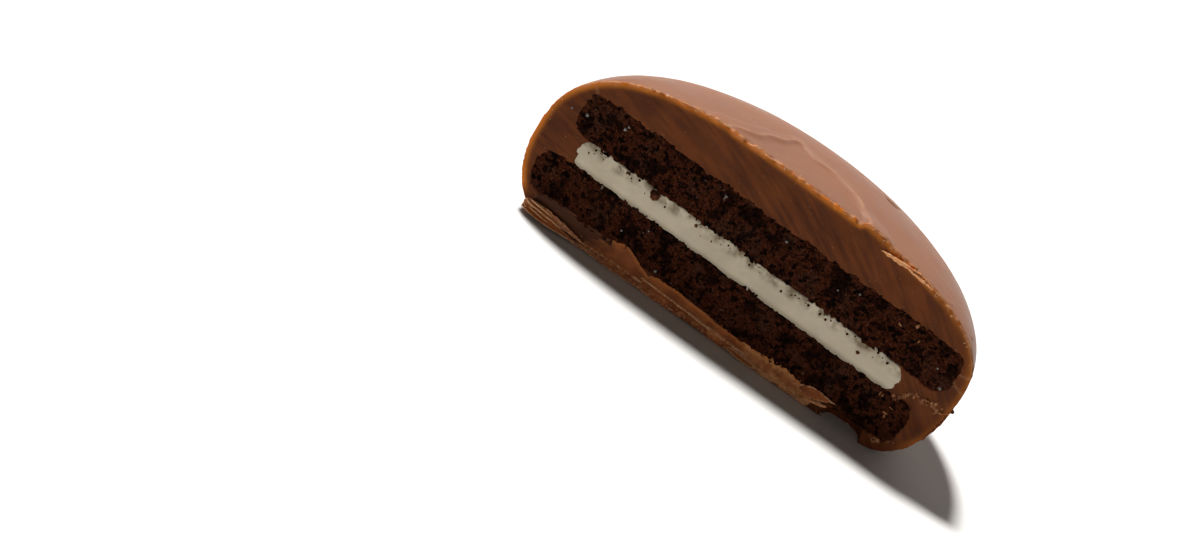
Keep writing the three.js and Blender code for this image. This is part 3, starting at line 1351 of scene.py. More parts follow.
@dataclass
class Coating:
    """The coat of milk chocolate, with the pocket that holds the sandwich.

    Attributes:
        shape: The cookie's outside.
        fineness: Size of the squares that its surface is made of.
        skin_depth: How deep under the outside still counts as skin.
        crest: How far behind the cut the broken edge reaches.
        rim: How far from the edge light glows through the cut.
        nick: The middle of the nick in the crown, right of the middle and behind the cut.
        nick_size: Half its length and half its width.
        scratches: The ends of the fine scratches in the cut, in millimetres.
    """

    shape: CookieShape
    fineness: float = 0.18 * MM
    skin_depth: float = 0.17 * MM
    crest: float = 0.22 * MM
    rim: float = 0.95 * MM
    nick: tuple[float, float] = (8.6 * MM, 12.9 * MM)
    nick_size: tuple[float, float] = (0.85 * MM, 0.65 * MM)
    scratches: tuple[tuple[tuple[float, float], tuple[float, float]], ...] = (
        ((23.1, 10.95), (24.7, 10.5)), ((23.5, 12.0), (24.4, 12.1)), ((24.4, 12.1), (24.5, 12.7)),
        ((-21.9, 15.6), (-21.2, 14.6)), ((-20.6, 17.3), (-20.1, 16.4)))

    def whole(self) -> bpy.types.Object:
        """Models the whole cookie's outside from a ball.

        Returns:
            The outside, a closed mesh.
        """
        bpy.ops.object.select_all(action="DESELECT")
        bpy.ops.mesh.primitive_uv_sphere_add(segments=192, ring_count=160, radius=1.0)
        obj = added("chocolate_coating_satin")
        move_points(obj, self.shape.wrap(points_of(obj)))
        return obj

    def chip(self) -> bpy.types.Object:
        """Models what broke off the foot of the cut.

        Returns:
            The lump that is missing, a closed mesh.
        """
        bpy.ops.object.select_all(action="DESELECT")
        bpy.ops.mesh.primitive_ico_sphere_add(subdivisions=4, radius=1.0 * MM,
                                              location=(16.9 * MM, self.shape.cut_y, 0.2 * MM),
                                              scale=(2.4, 2.4, 1.9))
        obj = added("chip")
        displace(obj, texture("chip_break", "CLOUDS", 1.0 * MM, noise_depth=2), 0.8 * MM)
        return obj

    def build(self, pocket: Sequence[bpy.types.Object], skin: bpy.types.Material,
              cut: bpy.types.Material) -> bpy.types.Object:
        """Makes the half coat.

        Args:
            pocket: The solids that make its pocket, which are used up.
            skin: The material of its outside.
            cut: The material of what the knife laid bare.

        Returns:
            The finished piece.
        """
        obj = self.whole()
        mesh = bmesh.new()
        mesh.from_mesh(obj.data)
        outside = BVHTree.FromBMesh(mesh)
        mesh.free()
        halve(obj, self.shape.cut_y)
        chip = self.chip()
        for tool in (*pocket, chip):
            cut_away(obj, tool)
        discard(*pocket, chip)
        remesh(obj, self.fineness)
        self.thin_hidden(obj, outside)
        points = points_of(obj)
        depth = self.depth_under(outside, points)
        normals = normals_of(obj)
        on_cut = (normals[:, 1] < -0.5) & (points[:, 1] < self.shape.cut_y + 0.3 * MM)
        on_skin = (depth < self.skin_depth) & ~on_cut
        self.carve(obj, points, normals, depth, on_cut, on_skin)
        self.tint(obj, points, depth)
        dressed(obj, [skin, cut], "chocolate", self.shape.node)
        bare = (~on_skin | (points[:, 1] < self.shape.cut_y + self.crest)).astype(np.int32)
        for face in obj.data.polygons:
            face.material_index = 1 if sum(bare[i] for i in face.vertices) > 1 else 0
        return obj

    @staticmethod
    def depth_under(outside: BVHTree, points: Array) -> Array:
        """Returns how deep under the whole cookie's outside each point lies."""
        return np.array([outside.find_nearest(Vector(row))[3] for row in points])

    def thin_hidden(self, obj: bpy.types.Object, outside: BVHTree) -> None:
        """Makes the pocket, the underside and the plain back coarser.

        Args:
            obj: The coat.
            outside: The whole cookie's outside.
        """
        points = points_of(obj)
        behind = points[:, 1] - self.shape.cut_y
        inside = (self.depth_under(outside, points) > 0.6 * MM) & (behind > 0.8 * MM)
        thin(obj, inside, 0.05)
        points = points_of(obj)
        behind = points[:, 1] - self.shape.cut_y
        ringed = (points[:, 2] > 15 * MM) & (np.hypot(points[:, 0], behind) < 12 * MM)
        thin(obj, (behind > 3.0 * MM) & ~ringed, 0.3)

    def carve(self, obj: bpy.types.Object, points: Array, normals: Array, depth: Array, on_cut: Array,
              on_skin: Array) -> None:
        """Gives the coat its ridge, its knife streaks and its broken edges.

        Args:
            obj: The coat.
            points: Its points.
            normals: Its normals.
            depth: How deep under the outside each point lies.
            on_cut: Which points lie on the cut.
            on_skin: Which points lie on the outside.
        """
        shape = self.shape
        crown = ramp(points[:, 2], 11.0 * MM, 14.0 * MM)
        points[:, 2] += shape.seam(points) * crown * ramp(depth, 2.4 * MM, 0.3 * MM)
        swell = 0.05 * MM * grain(points, 5.0 * MM, 1) + 0.012 * MM * grain(points, 1.4 * MM, 2)
        points += normals * (swell * on_skin)[:, None]
        slit = self.slit(points)
        points -= normals * (0.3 * MM * slit * on_skin)[:, None]
        pimple = ramp(grain(points, 0.9 * MM, 14), 0.4, 0.8) * ramp(points[:, 0], 15 * MM, 20 * MM)
        pimple *= ramp(points[:, 1] - shape.cut_y, 5.0 * MM, 1.5 * MM)
        points += normals * (0.1 * MM * pimple * on_skin)[:, None]
        fallen, ridge = self.tear(points)
        crumble = 0.06 + 0.16 * grain(points, 0.35 * MM, 15)
        points[:, 1] += np.where(on_cut, (0.42 * fallen - crumble * ridge) * MM, 0.0)
        arc = np.hypot(points[:, 0] - KNIFE_CENTRE[0], points[:, 2] - KNIFE_CENTRE[2])
        rows = np.stack([arc, np.zeros_like(arc), points[:, 0] * 0.08], axis=1)
        streak = grain(rows, 0.55 * MM, 4) + 0.5 * grain(rows, 1.6 * MM, 5)
        points[:, 1] += np.where(on_cut, 0.03 * MM * streak, 0.0)
        edge = ramp(depth, 0.6 * MM, 0.1 * MM) * ramp(points[:, 1] - shape.cut_y, 0.8 * MM, 0.0)
        rough = 0.2 * grain(points, 0.4 * MM, 6) + 0.2 * grain(points, 1.0 * MM, 9)
        calm = (0.15 + 0.85 * ramp(points[:, 0], -19 * MM, -14 * MM)) * ramp(points[:, 2], 0.5 * MM, 2 * MM)
        calm *= 1.0 - 0.7 * ramp(points[:, 0], 17 * MM, 21 * MM)
        points += normals * (edge * rough * calm * MM)[:, None]
        points[:, 2] = np.maximum(points[:, 2], 0.0)
        move_points(obj, points)

    @staticmethod
    def scratch(x: Array, z: Array, start: tuple[float, float], end: tuple[float, float]) -> Array:
        """Returns 1 on a fine straight scratch in the cut and 0 away from it, all in millimetres.

        Args:
            x: Places along the cut.
            z: Heights of the same places.
            start: One end of the scratch.
            end: Its other end.

        Returns:
            One number for each place.
        """
        first, way = np.array(start), np.array(end) - np.array(start)
        share = np.clip(((x - first[0]) * way[0] + (z - first[1]) * way[1]) / (way @ way), 0.0, 1.0)
        off = np.hypot(x - first[0] - share * way[0], z - first[1] - share * way[1])
        return bell(off, 0.0, 0.1)

    @staticmethod
    def tear(points: Array) -> tuple[Array, Array]:
        """Finds the step where the coat tore instead of being cut, low on the right.

        Args:
            points: Points on the cut, one row each.

        Returns:
            1 below the step and 0 away from it, and 1 on its crumbled ridge.
        """
        x, z = points[:, 0] / MM, points[:, 2] / MM
        line = Coating.tear_line(x)
        reach = ramp(x, 19.4, 20.4)
        fallen = ramp(z, line, line - 0.22) * ramp(z, line - 3.8, line - 1.6) * reach
        return fallen, bell(z, line, 0.1 + 0.07 * ramp(x, 22.5, 20.5)) * reach

    @staticmethod
    def tear_line(x: Array) -> Array:
        """Returns the height of that step at places along the cut, all in millimetres."""
        return 6.2 + 1.4 * ramp(x, 19.7, 21.3) + 0.16 * np.sin(x * 3.1) + 0.07 * np.sin(x * 9.7)

    def slit(self, points: Array) -> Array:
        """Finds the small nick on the crown.

        Args:
            points: Points of the coat, one row each.

        Returns:
            1 in the nick and 0 away from it.
        """
        across = (points[:, 0] - self.nick[0]) / self.nick_size[0]
        along = (points[:, 1] - self.shape.cut_y - self.nick[1]) / self.nick_size[1]
        return ramp(np.hypot(across, along), 1.05, 0.8)

    def tint(self, obj: bpy.types.Object, points: Array, depth: Array) -> None:
        """Paints where the cut glows and crumbles.

        Args:
            obj: The coat.
            points: Its points.
            depth: How deep under the outside each point lies.
        """
        x, z = points[:, 0] / MM, points[:, 2] / MM
        wander = 1.0 + 0.35 * grain(points, 2.2 * MM, 7)
        glow = ramp(depth, self.rim, 0.12 * MM) ** 1.4 * np.clip(wander, 0.0, 1.4)
        glow *= 1.0 - 0.65 * ramp(x, 13.0, 21.0)
        glow *= ramp(z, 1.2, 3.0)
        crest = ramp(points[:, 1] - self.shape.cut_y, 0.0, 0.09 * MM) * ramp(depth, 0.3 * MM, 0.12 * MM)
        paint(obj, "rim", np.clip(glow * (1.0 - 0.85 * crest), 0.0, 1.0))
        chalk = ramp(depth, 0.3 * MM, 0.05 * MM) * ramp(grain(points, 0.6 * MM, 8), -0.45, 0.15)
        chalk *= 1.0 - 0.6 * crest
        ridge = self.tear(points)[1] * ramp(grain(points, 0.35 * MM, 16), -0.35, 0.25)
        ridge *= points[:, 1] < self.shape.cut_y + 0.4 * MM
        for start, end in self.scratches:
            ridge = np.maximum(ridge, 0.5 * self.scratch(x, z, start, end))
        paint(obj, "chalk", np.clip(chalk * ramp(z, 11.0, 15.0) + 0.6 * ridge, 0.0, 1.0))
        # Painted shade inside the nick, for the skin's material.
        paint(obj, "slit", self.slit(points))
        # Painted highlight along the ridge on the crown, for the skin's material.
        crest = bell(self.shape.ridge(points)[0], 0.05, 0.2) * ramp(z, 14.0, 16.0)
        paint(obj, "ridge_highlight", crest * np.clip(0.7 + 0.7 * grain(points, 1.6 * MM, 19), 0.2, 1.0))


@dataclass(frozen=True)
class Shaving:
    """One thin scrap of chocolate that the knife dragged along, as long as from start to end.

    Attributes:
        start: Its left end, as x and z on the cut, in millimetres.
        end: Its right end.
        width: Its width, in millimetres.
        out: How far its middle stands out of the cut, in millimetres.
        cup: How far its cross-section is curled, in radians; positive hollows its face.
        lean: How far it leans over, in radians; positive brings its upper edge out.
        thickness: In millimetres.
        ragged: How torn its edges are.
        bow: How far its middle rises over the straight line, in millimetres.
        tone: -1 for a dark film, 0 for plain chocolate, 1 for crumbled.
        glow: How much light comes through it.
        narrow: How much narrower it is at its right end, as a share.
    """

    start: tuple[float, float]
    end: tuple[float, float]
    width: float
    out: float = 0.08
    cup: float = 0.5
    lean: float = 0.0
    thickness: float = 0.12
    ragged: float = 0.25
    bow: float = 0.0
    tone: float = 0.2
    glow: float = 0.0
    narrow: float = 0.0

    @property
    def length(self) -> float:
        """From end to end, in millimetres."""
        return math.dist(self.start, self.end)


@dataclass(frozen=True)
class Smear:
    """A plate of chocolate that the knife dragged up from the foot over the wafer, in millimetres.

    Attributes:
        start: The x of its left end.
        end: The x of its right end.
        rise: Height of its upper edge.
        peak: How much higher that edge is at its highest.
        peak_at: Where that is, as a share of the length.
        low: Height of its lower edge.
        out: How far its face stands out of the cut.
        tone: -1 for a dark film, 0 for plain chocolate, 1 for crumbled.
        shift: How much its tone rises over its left third.
        glow: How much light comes through its thin upper edge.
        ragged: How torn that edge is.
        thickness: Its thickness.
    """

    start: float
    end: float
    rise: float
    peak: float
    peak_at: float
    low: float = 0.08
    out: float = 0.06
    tone: float = 0.0
    shift: float = 0.0
    glow: float = 0.7
    ragged: float = 1.0
    thickness: float = 0.11

    def crest(self, x: Array, seed: int) -> Array:
        """Returns the height of its upper edge.

        Args:
            x: Places along the cut.
            seed: Which noise the edge is torn by.

        Returns:
            One height for each place.
        """
        share = (x - self.start) / (self.end - self.start)
        rows = np.stack([x, np.zeros_like(x), np.zeros_like(x)], axis=1)
        torn = self.ragged * (0.09 * grain(rows, 0.35, seed) + 0.12 * grain(rows, 1.3, seed + 1))
        blunt = np.clip(np.sin(math.pi * np.clip(share, 0.01, 0.99)) / 0.15, 0.0, 1.0) ** 0.4
        height = self.rise + self.peak * bell(share, self.peak_at, 0.28) + torn
        return self.low + (height - self.low) * blunt


@dataclass
class Shavings:
    """Builds the scraps of chocolate as one piece.

    Attributes:
        cut_y: The knife's plane.
        fineness: Size of the squares that they are made of.
    """

    cut_y: float
    fineness: float = 0.085 * MM

    def bend(self, flat: Array, scrap: Shaving, seed: int) -> Array:
        """Moves the points of a flat sheet from -1 to 1 onto a scrap's middle surface.

        Args:
            flat: The sheet's points.
            scrap: The scrap.
            seed: Which noise its edges are torn by.

        Returns:
            The same points in place.
        """
        share, side = (flat[:, 0] + 1) / 2, flat[:, 1] / 2
        start, end = np.array(scrap.start), np.array(scrap.end)
        ahead = (end - start) / scrap.length
        over = np.array([-ahead[1], ahead[0]])
        rows = np.stack([share * scrap.length, np.sign(side) * 3.0, np.zeros_like(share)], axis=1)
        torn = 1 + scrap.ragged * (grain(rows, 0.5, seed) + 0.7 * grain(rows, 1.7, seed + 1))
        taper = np.sin(math.pi * (0.04 + 0.92 * share)) ** 0.45
        width = scrap.width * taper * torn * (1 - scrap.narrow * ramp(share, 0.3, 1.0))
        turn = side * scrap.cup
        across = width * np.sin(turn) / scrap.cup
        away = width * (1 - np.cos(turn)) / scrap.cup
        shifted = across * math.cos(scrap.lean) - away * math.sin(scrap.lean)
        out = scrap.out + across * math.sin(scrap.lean) + away * math.cos(scrap.lean)
        middle = start + share[:, None] * (end - start)
        middle += (scrap.bow * np.sin(math.pi * share))[:, None] * over
        place = middle + shifted[:, None] * over
        return np.stack([place[:, 0] * MM, self.cut_y - out * MM, place[:, 1] * MM], axis=1)

    def make(self, scrap: Shaving, seed: int) -> bpy.types.Object:
        """Models one scrap.

        Args:
            scrap: The scrap.
            seed: Which noise its surface follows.

        Returns:
            The scrap as a closed mesh.
        """
        bpy.ops.object.select_all(action="DESELECT")
        long, wide = max(8, round(scrap.length / 0.15)), max(6, round(scrap.width / 0.12))
        bpy.ops.mesh.primitive_grid_add(x_subdivisions=long, y_subdivisions=wide, size=2.0)
        obj = added("scrap")
        move_points(obj, self.bend(points_of(obj), scrap, seed))
        modify(obj, "SOLIDIFY", thickness=scrap.thickness * MM, offset=0.0)
        remesh(obj, self.fineness)
        points, normals = points_of(obj), normals_of(obj)
        ahead = np.array([scrap.end[0] - scrap.start[0], 0.0, scrap.end[1] - scrap.start[1]]) / scrap.length
        along = points @ ahead
        rows = points - np.outer(along * 0.88, ahead)
        relief = 0.05 * grain(rows, 0.28 * MM, seed + 2) + 0.05 * grain(points, 0.3 * MM, seed + 3)
        points += normals * (relief * MM)[:, None]
        points[:, 2] = np.maximum(points[:, 2], 0.02 * MM)
        move_points(obj, points)
        paint(obj, "edge", ramp(convexity(obj), 0.009 * MM, 0.032 * MM))
        paint(obj, "tone", np.full(len(points), scrap.tone))
        paint(obj, "glow", np.full(len(points), scrap.glow))
        return obj

    def spread(self, smear: Smear, seed: int) -> bpy.types.Object:
        """Models one smear, which lies on the cut from the foot up.

        Args:
            smear: The smear.
            seed: Which noise its surface follows.

        Returns:
            The smear as a closed mesh.
        """
        bpy.ops.object.select_all(action="DESELECT")
        bpy.ops.mesh.primitive_grid_add(x_subdivisions=round((smear.end - smear.start) / 0.14),
                                        y_subdivisions=20, size=2.0)
        obj = added("smear")
        flat = points_of(obj)
        along, up = (flat[:, 0] + 1) / 2, (flat[:, 1] + 1) / 2
        x = smear.start + along * (smear.end - smear.start)
        z = smear.low + up * (smear.crest(x, seed) - smear.low)
        out = smear.out + 0.16 * bell(z, 0.35, 0.4) - 0.05 * up
        move_points(obj, np.stack([x * MM, self.cut_y - out * MM, z * MM], axis=1))
        modify(obj, "SOLIDIFY", thickness=smear.thickness * MM, offset=0.0)
        remesh(obj, self.fineness)
        points, normals = points_of(obj), normals_of(obj)
        x, z = points[:, 0] / MM, points[:, 2] / MM
        rows = points * (0.12, 1.0, 1.0) - points[:, [2]] * (0.06, 0.0, 0.0)
        gritty = ramp(z, 1.3, 0.6) * ramp(x, -17.5, -15.5)
        relief = 0.06 * grain(rows, 0.24 * MM, seed + 2) + 0.07 * grain(rows, 0.8 * MM, seed + 3)
        relief += gritty * (0.12 * grain(points, 0.32 * MM, seed + 4) + 0.1 * grain(points, 0.7 * MM, 17))
        points += normals * (relief * MM)[:, None]
        points[:, 2] = np.maximum(points[:, 2], 0.02 * MM)
        move_points(obj, points)
        below = smear.crest(x, seed) - z
        wander = 0.75 + 0.5 * grain(points, 1.2 * MM, seed + 5)
        passed = ramp((x - smear.start) / (smear.end - smear.start), 0.05, 0.4)
        lit = smear.glow * (passed if smear.shift else 1.0) * wander
        paint(obj, "glow", np.clip(ramp(below, 0.55, 0.05) * lit, 0.0, 1.0))
        tone = smear.tone + smear.shift * passed + max(smear.tone, 0.0) * 3.0 * ramp(below, 0.9, 0.1)
        paint(obj, "tone", np.clip(tone + gritty * (0.35 + 0.5 * grain(points, 0.6 * MM, 18)), -1, 1))
        paint(obj, "edge", ramp(convexity(obj), 0.014 * MM, 0.05 * MM) * (0.25 + 0.5 * gritty))
        return obj

    def build(self, scraps: Sequence[Union[Shaving, Smear]], name: str,
              finish: bpy.types.Material) -> bpy.types.Object:
        """Makes a piece of several scraps.

        Args:
            scraps: The scraps and smears.
            name: The piece's name.
            finish: Its material.

        Returns:
            The finished piece.
        """
        made = []
        for index, scrap in enumerate(scraps):
            model = self.spread if isinstance(scrap, Smear) else self.make
            made.append(model(scrap, 20 + 5 * index))
        return dressed(joined(made, name), [finish], "chocolate")


class Chip(Enum):
    """The kinds of small bits that lie about on the cut."""

    CRUMB = "crumb"
    FLAKE = "flake"
    GRAIN = "grain"


@dataclass
class Bits:
    """Scatters small bits and joins them into one piece.

    Attributes:
        rng: The source of chance.
    """

    rng: random.Random

    def pattern(self, kind: Chip, seed: int) -> bpy.types.Object:
        """Models one bit of size 1.

        Args:
            kind: Which kind of bit.
            seed: Which of its forms.

        Returns:
            The bit at the origin.
        """
        bpy.ops.object.select_all(action="DESELECT")
        bpy.ops.mesh.primitive_ico_sphere_add(subdivisions=2 if kind is Chip.GRAIN else 3, radius=0.5)
        obj = added("bit")
        points = points_of(obj)
        lumps = 1 + 0.5 * grain(points, 0.42, seed) + 0.35 * grain(points, 0.18, seed + 1)
        points *= lumps[:, None]
        if kind is Chip.GRAIN:
            points = np.clip(points, -0.34, 0.34)
        elif kind is Chip.FLAKE:
            points *= (1.2, 0.85, 0.3)
            points[:, 2] += 0.3 * points[:, 0] ** 2 + 0.12 * grain(points, 0.25, seed + 2)
        move_points(obj, points)
        return obj

    def scatter(self, kind: Chip, places: Sequence[tuple[Vector, float]], name: str,
                finish: bpy.types.Material, slot: str) -> bpy.types.Object:
        """Makes one piece of many bits.

        Args:
            kind: Which kind of bit.
            places: The middle and size of each.
            name: The piece's name.
            finish: Its material.
            slot: The record's material slot.

        Returns:
            The finished piece.
        """
        patterns = [self.pattern(kind, seed * 3) for seed in range(6)]
        bits = []
        for place, size in places:
            bit = copied(self.rng.choice(patterns), "bit")
            turn = Matrix.Rotation(self.rng.uniform(0, math.tau), 4, "X")
            turn = Matrix.Rotation(self.rng.uniform(0, math.tau), 4, "Y") @ turn
            turn = Matrix.Rotation(self.rng.uniform(0, math.tau), 4, "Z") @ turn
            bit.data.transform(Matrix.Translation(place) @ turn @ Matrix.Scale(size, 4))
            bits.append(bit)
        discard(*patterns)
        return dressed(joined(bits, name), [finish], slot)


# ---------------------------------------------------------------------------------------------------------
# Studio
# ---------------------------------------------------------------------------------------------------------


@dataclass
class Studio:
    """The floor, the lights and the camera.

    Attributes:
        target: The point of the cookie that the camera is set by.
        azimuth: How far right of the cut face's normal the camera stands.
        elevation: How high it stands.
        roll: How far it is turned on its own axis.
        distance: From the target.
        lens: Focal length, in millimetres.
        sensor: Width of the picture behind the lens, in millimetres.
        offset: Where the target shows, right of and above the picture's middle, in picture widths.
    """

    target: Vector
    azimuth: float = math.radians(3.8)
    elevation: float = math.radians(20.945)
    roll: float = math.radians(33.452)
    distance: float = 198.245 * MM
    lens: float = 60.0
    sensor: float = 36.0
    offset: tuple[float, float] = (0.1208, 0.00125)

    def axes(self) -> tuple[Vector, Vector, Vector]:
        """Works out how a camera stands that looks straight at the target.

        Returns:
            Its right, its up and its back.
        """
        back = Vector((math.sin(self.azimuth) * math.cos(self.elevation),
                       -math.cos(self.azimuth) * math.cos(self.elevation), math.sin(self.elevation)))
        level = Vector((0, 0, 1)).cross(back).normalized()
        upright = back.cross(level)
        right = level * math.cos(self.roll) + upright * math.sin(self.roll)
        return right, back.cross(right), back

    def set_camera(self) -> bpy.types.Object:
        """Makes the camera.

        Returns:
            The camera.
        """
        right, up, back = self.axes()
        facing = Matrix((right, up, back)).transposed()
        ray = Vector((self.offset[0] * self.sensor / self.lens, self.offset[1] * self.sensor / self.lens, -1))
        swing = Vector((0, 0, -1)).rotation_difference(ray.normalized()).to_matrix()
        data = bpy.data.cameras.new("camera")
        data.lens = self.lens
        data.sensor_width = self.sensor
        data.clip_start = 0.01
        camera = bpy.data.objects.new("camera", data)
        bpy.context.scene.collection.objects.link(camera)
        place = Matrix.Translation(self.target + back * self.distance)
        camera.matrix_world = place @ (facing @ swing.transposed()).to_4x4()
        bpy.context.scene.camera = camera
        return camera

    def shine(self, name: str, direction: Vector, power: float, size: float, distance: float,
              colour: Colour) -> bpy.types.Object:
        """Adds a square soft light that looks at the target.

        Args:
            name: The light's name.
            direction: From the target towards the light.
            power: Its power, in watts.
            size: Its width.
            distance: From the target.
            colour: Its colour.

        Returns:
            The light.
        """
        data = bpy.data.lights.new(name, "AREA")
        data.energy = power
        data.size = size
        data.color = colour
        light = bpy.data.objects.new(name, data)
        light.location = self.target + direction.normalized() * distance
        light.rotation_euler = direction.to_track_quat("Z", "Y").to_euler()
        bpy.context.scene.collection.objects.link(light)
        return light

    def sun(self, name: str, direction: Vector, strength: float, spread: float,
            colour: Colour) -> bpy.types.Object:
        """Adds the far key light.

        Args:
            name: The light's name.
            direction: Towards the light.
            strength: Its strength.
            spread: Its width in the sky, in radians.
            colour: Its colour.

        Returns:
            The light.
        """
        data = bpy.data.lights.new(name, "SUN")
        data.energy = strength
        data.angle = spread
        data.color = colour
        light = bpy.data.objects.new(name, data)
        light.rotation_euler = direction.to_track_quat("Z", "Y").to_euler()
        bpy.context.scene.collection.objects.link(light)
        return light

    def lay_floor(self) -> bpy.types.Object:
        """Makes the plain pale floor.

        Returns:
            The floor.
        """
        bpy.ops.object.select_all(action="DESELECT")
        bpy.ops.mesh.primitive_plane_add(size=6.0)
        floor = added("floor")
        material = bpy.data.materials.new("pale_floor")
        material.use_nodes = True
        graph = Graph(material.node_tree)
        shader = graph.node("BsdfPrincipled", None, Base_Color=(0.68, 0.675, 0.67), Roughness=0.9)
        shader.inputs["Specular IOR Level"].default_value = 0.1
        output = graph.node("OutputMaterial")
        graph.feed(output.inputs["Surface"], shader.outputs[0])
        floor.data.materials.append(material)
        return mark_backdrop(floor)

    def build(self) -> None:
        """Sets the whole studio up."""
        right, up, back = self.axes()
        self.set_camera()
        self.lay_floor()
        world = bpy.data.worlds.new("studio")
        world.use_nodes = True
        background = world.node_tree.nodes["Background"]
        background.inputs["Color"].default_value = (1.0, 0.82, 0.7, 1.0)
        background.inputs["Strength"].default_value = 0.05
        bpy.context.scene.world = world
        warm = (1.0, 0.95, 0.9)
        self.sun("key", up * 1.0 + back * 0.05 + right * 0.1, strength=6.3, spread=math.radians(9),
                 colour=(1.0, 0.985, 0.96))
        self.shine("backdrop", Vector((0.15, 0.9, 0.5)), power=3.2, size=1.2, distance=1.0, colour=warm)
        self.shine("fill", Vector((0.25, -1.0, 0.12)), power=0.75, size=0.5, distance=0.7, colour=warm)
        bpy.context.scene.view_settings.view_transform = "Standard"


# ---------------------------------------------------------------------------------------------------------
# Assembly
# ---------------------------------------------------------------------------------------------------------


def rim_places(shape: CookieShape, rng: random.Random, count: int) -> list[tuple[Vector, float]]:
    """Picks places for flakes along the outer edge of the cut, densest on the left and on top.

    Args:
        shape: The cookie's outside.
        rng: The source of chance.
        count: How many.

    Returns:
        The middle and size of each flake.
    """
    places = []
    while len(places) < count:
        angle = math.radians(rng.uniform(-10, 190))
        ball = np.array([[math.cos(angle), 1e-4, math.sin(angle)]])
        edge = shape.wrap(ball)
        edge[:, 2] += shape.seam(edge)
        x, _, z = edge[0]
        if (x > 13 * MM or x < -17 * MM) and rng.random() < 0.7:
            continue
        size = (0.1 + 0.14 * rng.random() ** 3) * MM
        inward = rng.uniform(0.06, 0.3) * MM
        spot = Vector((x - inward * x / (20 * MM), shape.cut_y - rng.uniform(-0.1, 0.1) * MM, z - inward))
        places.append((spot, size))
    return places


def cream_places(sandwich: Sandwich, rng: random.Random, count: int) -> list[tuple[Vector, float]]:
    """Picks places for cocoa crumbs that the knife pressed into the cream.

    Args:
        sandwich: The stack.
        rng: The source of chance.
        count: How many.

    Returns:
        The middle and size of each crumb.
    """
    places = [(Vector((-11.0 * MM, sandwich.cut_y - 0.15 * MM, 9.4 * MM)), 1.05 * MM),
              (Vector((24.95 * MM, sandwich.cut_y + 0.3 * MM, 8.3 * MM)), 0.5 * MM)]
    for _ in range(count):
        x = rng.uniform(-19.0, 18.0) * MM
        middle = float(sandwich.cream_line(np.array(x)))
        z = middle + (1.35 - abs(rng.gauss(0.0, 0.5))) * MM
        size = (0.1 + 0.3 * rng.random() ** 3) * MM
        places.append((Vector((x, sandwich.cut_y - 0.06 * MM, z)), size))
    return places


def fringe_places(shape: CookieShape, rng: random.Random, count: int) -> list[tuple[Vector, float]]:
    """Picks places for chocolate crumbs along the foot of the cut, some higher up at the right.

    Args:
        shape: The cookie's outside.
        rng: The source of chance.
        count: How many.

    Returns:
        The middle and size of each crumb.
    """
    places = []
    for _ in range(count):
        high = rng.random() < 0.25
        x = rng.uniform(6.0, 13.5) if high else rng.uniform(-17.0, 15.0)
        z = 1.95 + rng.gauss(0.0, 0.25) if high else 0.12 + abs(rng.gauss(0.0, 0.4))
        size = 0.08 + 0.2 * rng.random() ** 2.5
        places.append((Vector((x * MM, shape.cut_y - rng.uniform(0.12, 0.24) * MM, z * MM)), size * MM))
    return places


def tear_places(shape: CookieShape, rng: random.Random, count: int) -> list[tuple[Vector, float]]:
    """Picks places for flakes along the step where the coat tore.

    Args:
        shape: The cookie's outside.
        rng: The source of chance.
        count: How many.

    Returns:
        The middle and size of each flake.
    """
    spots = []
    for _ in range(count):
        x = 19.4 + 5.0 * rng.random() ** 1.3
        line = float(Coating.tear_line(np.array([x]))[0])
        spots.append((x, line + rng.gauss(0.08, 0.18), 0.08 + 0.26 * rng.random() ** 2.2))
    return placed(shape, spots, 0.04)


def placed(shape: CookieShape, spots: Sequence[tuple[float, float, float]],
           out: float = 0.1) -> list[tuple[Vector, float]]:
    """Turns spots on the cut into places.

    Args:
        shape: The cookie's outside.
        spots: The x, z and size of each, in millimetres.
        out: How far their middles stand out of the cut, in millimetres.

    Returns:
        The middle and size of each.
    """
    return [(Vector((x * MM, shape.cut_y - out * MM, z * MM)), size * MM) for x, z, size in spots]


def wafer_places(sandwich: Sandwich, rng: random.Random, count: int) -> list[tuple[Vector, float]]:
    """Picks places for sugar grains in the cut faces of the wafers.

    Args:
        sandwich: The stack.
        rng: The source of chance.
        count: How many.

    Returns:
        The middle and size of each grain.
    """
    places = []
    for index in range(count):
        layer = (sandwich.top, sandwich.bottom)[index % 2]
        x = rng.uniform(-0.93, 0.93) * layer.radius
        z = layer.centre.z - x * math.tan(sandwich.tilt) + rng.uniform(-0.42, 0.42) * layer.thickness
        spot = Vector((layer.centre.x + x, sandwich.cut_y - 0.02 * MM, z))
        places.append((spot, (0.12 + 0.18 * rng.random() ** 2) * MM))
    return places


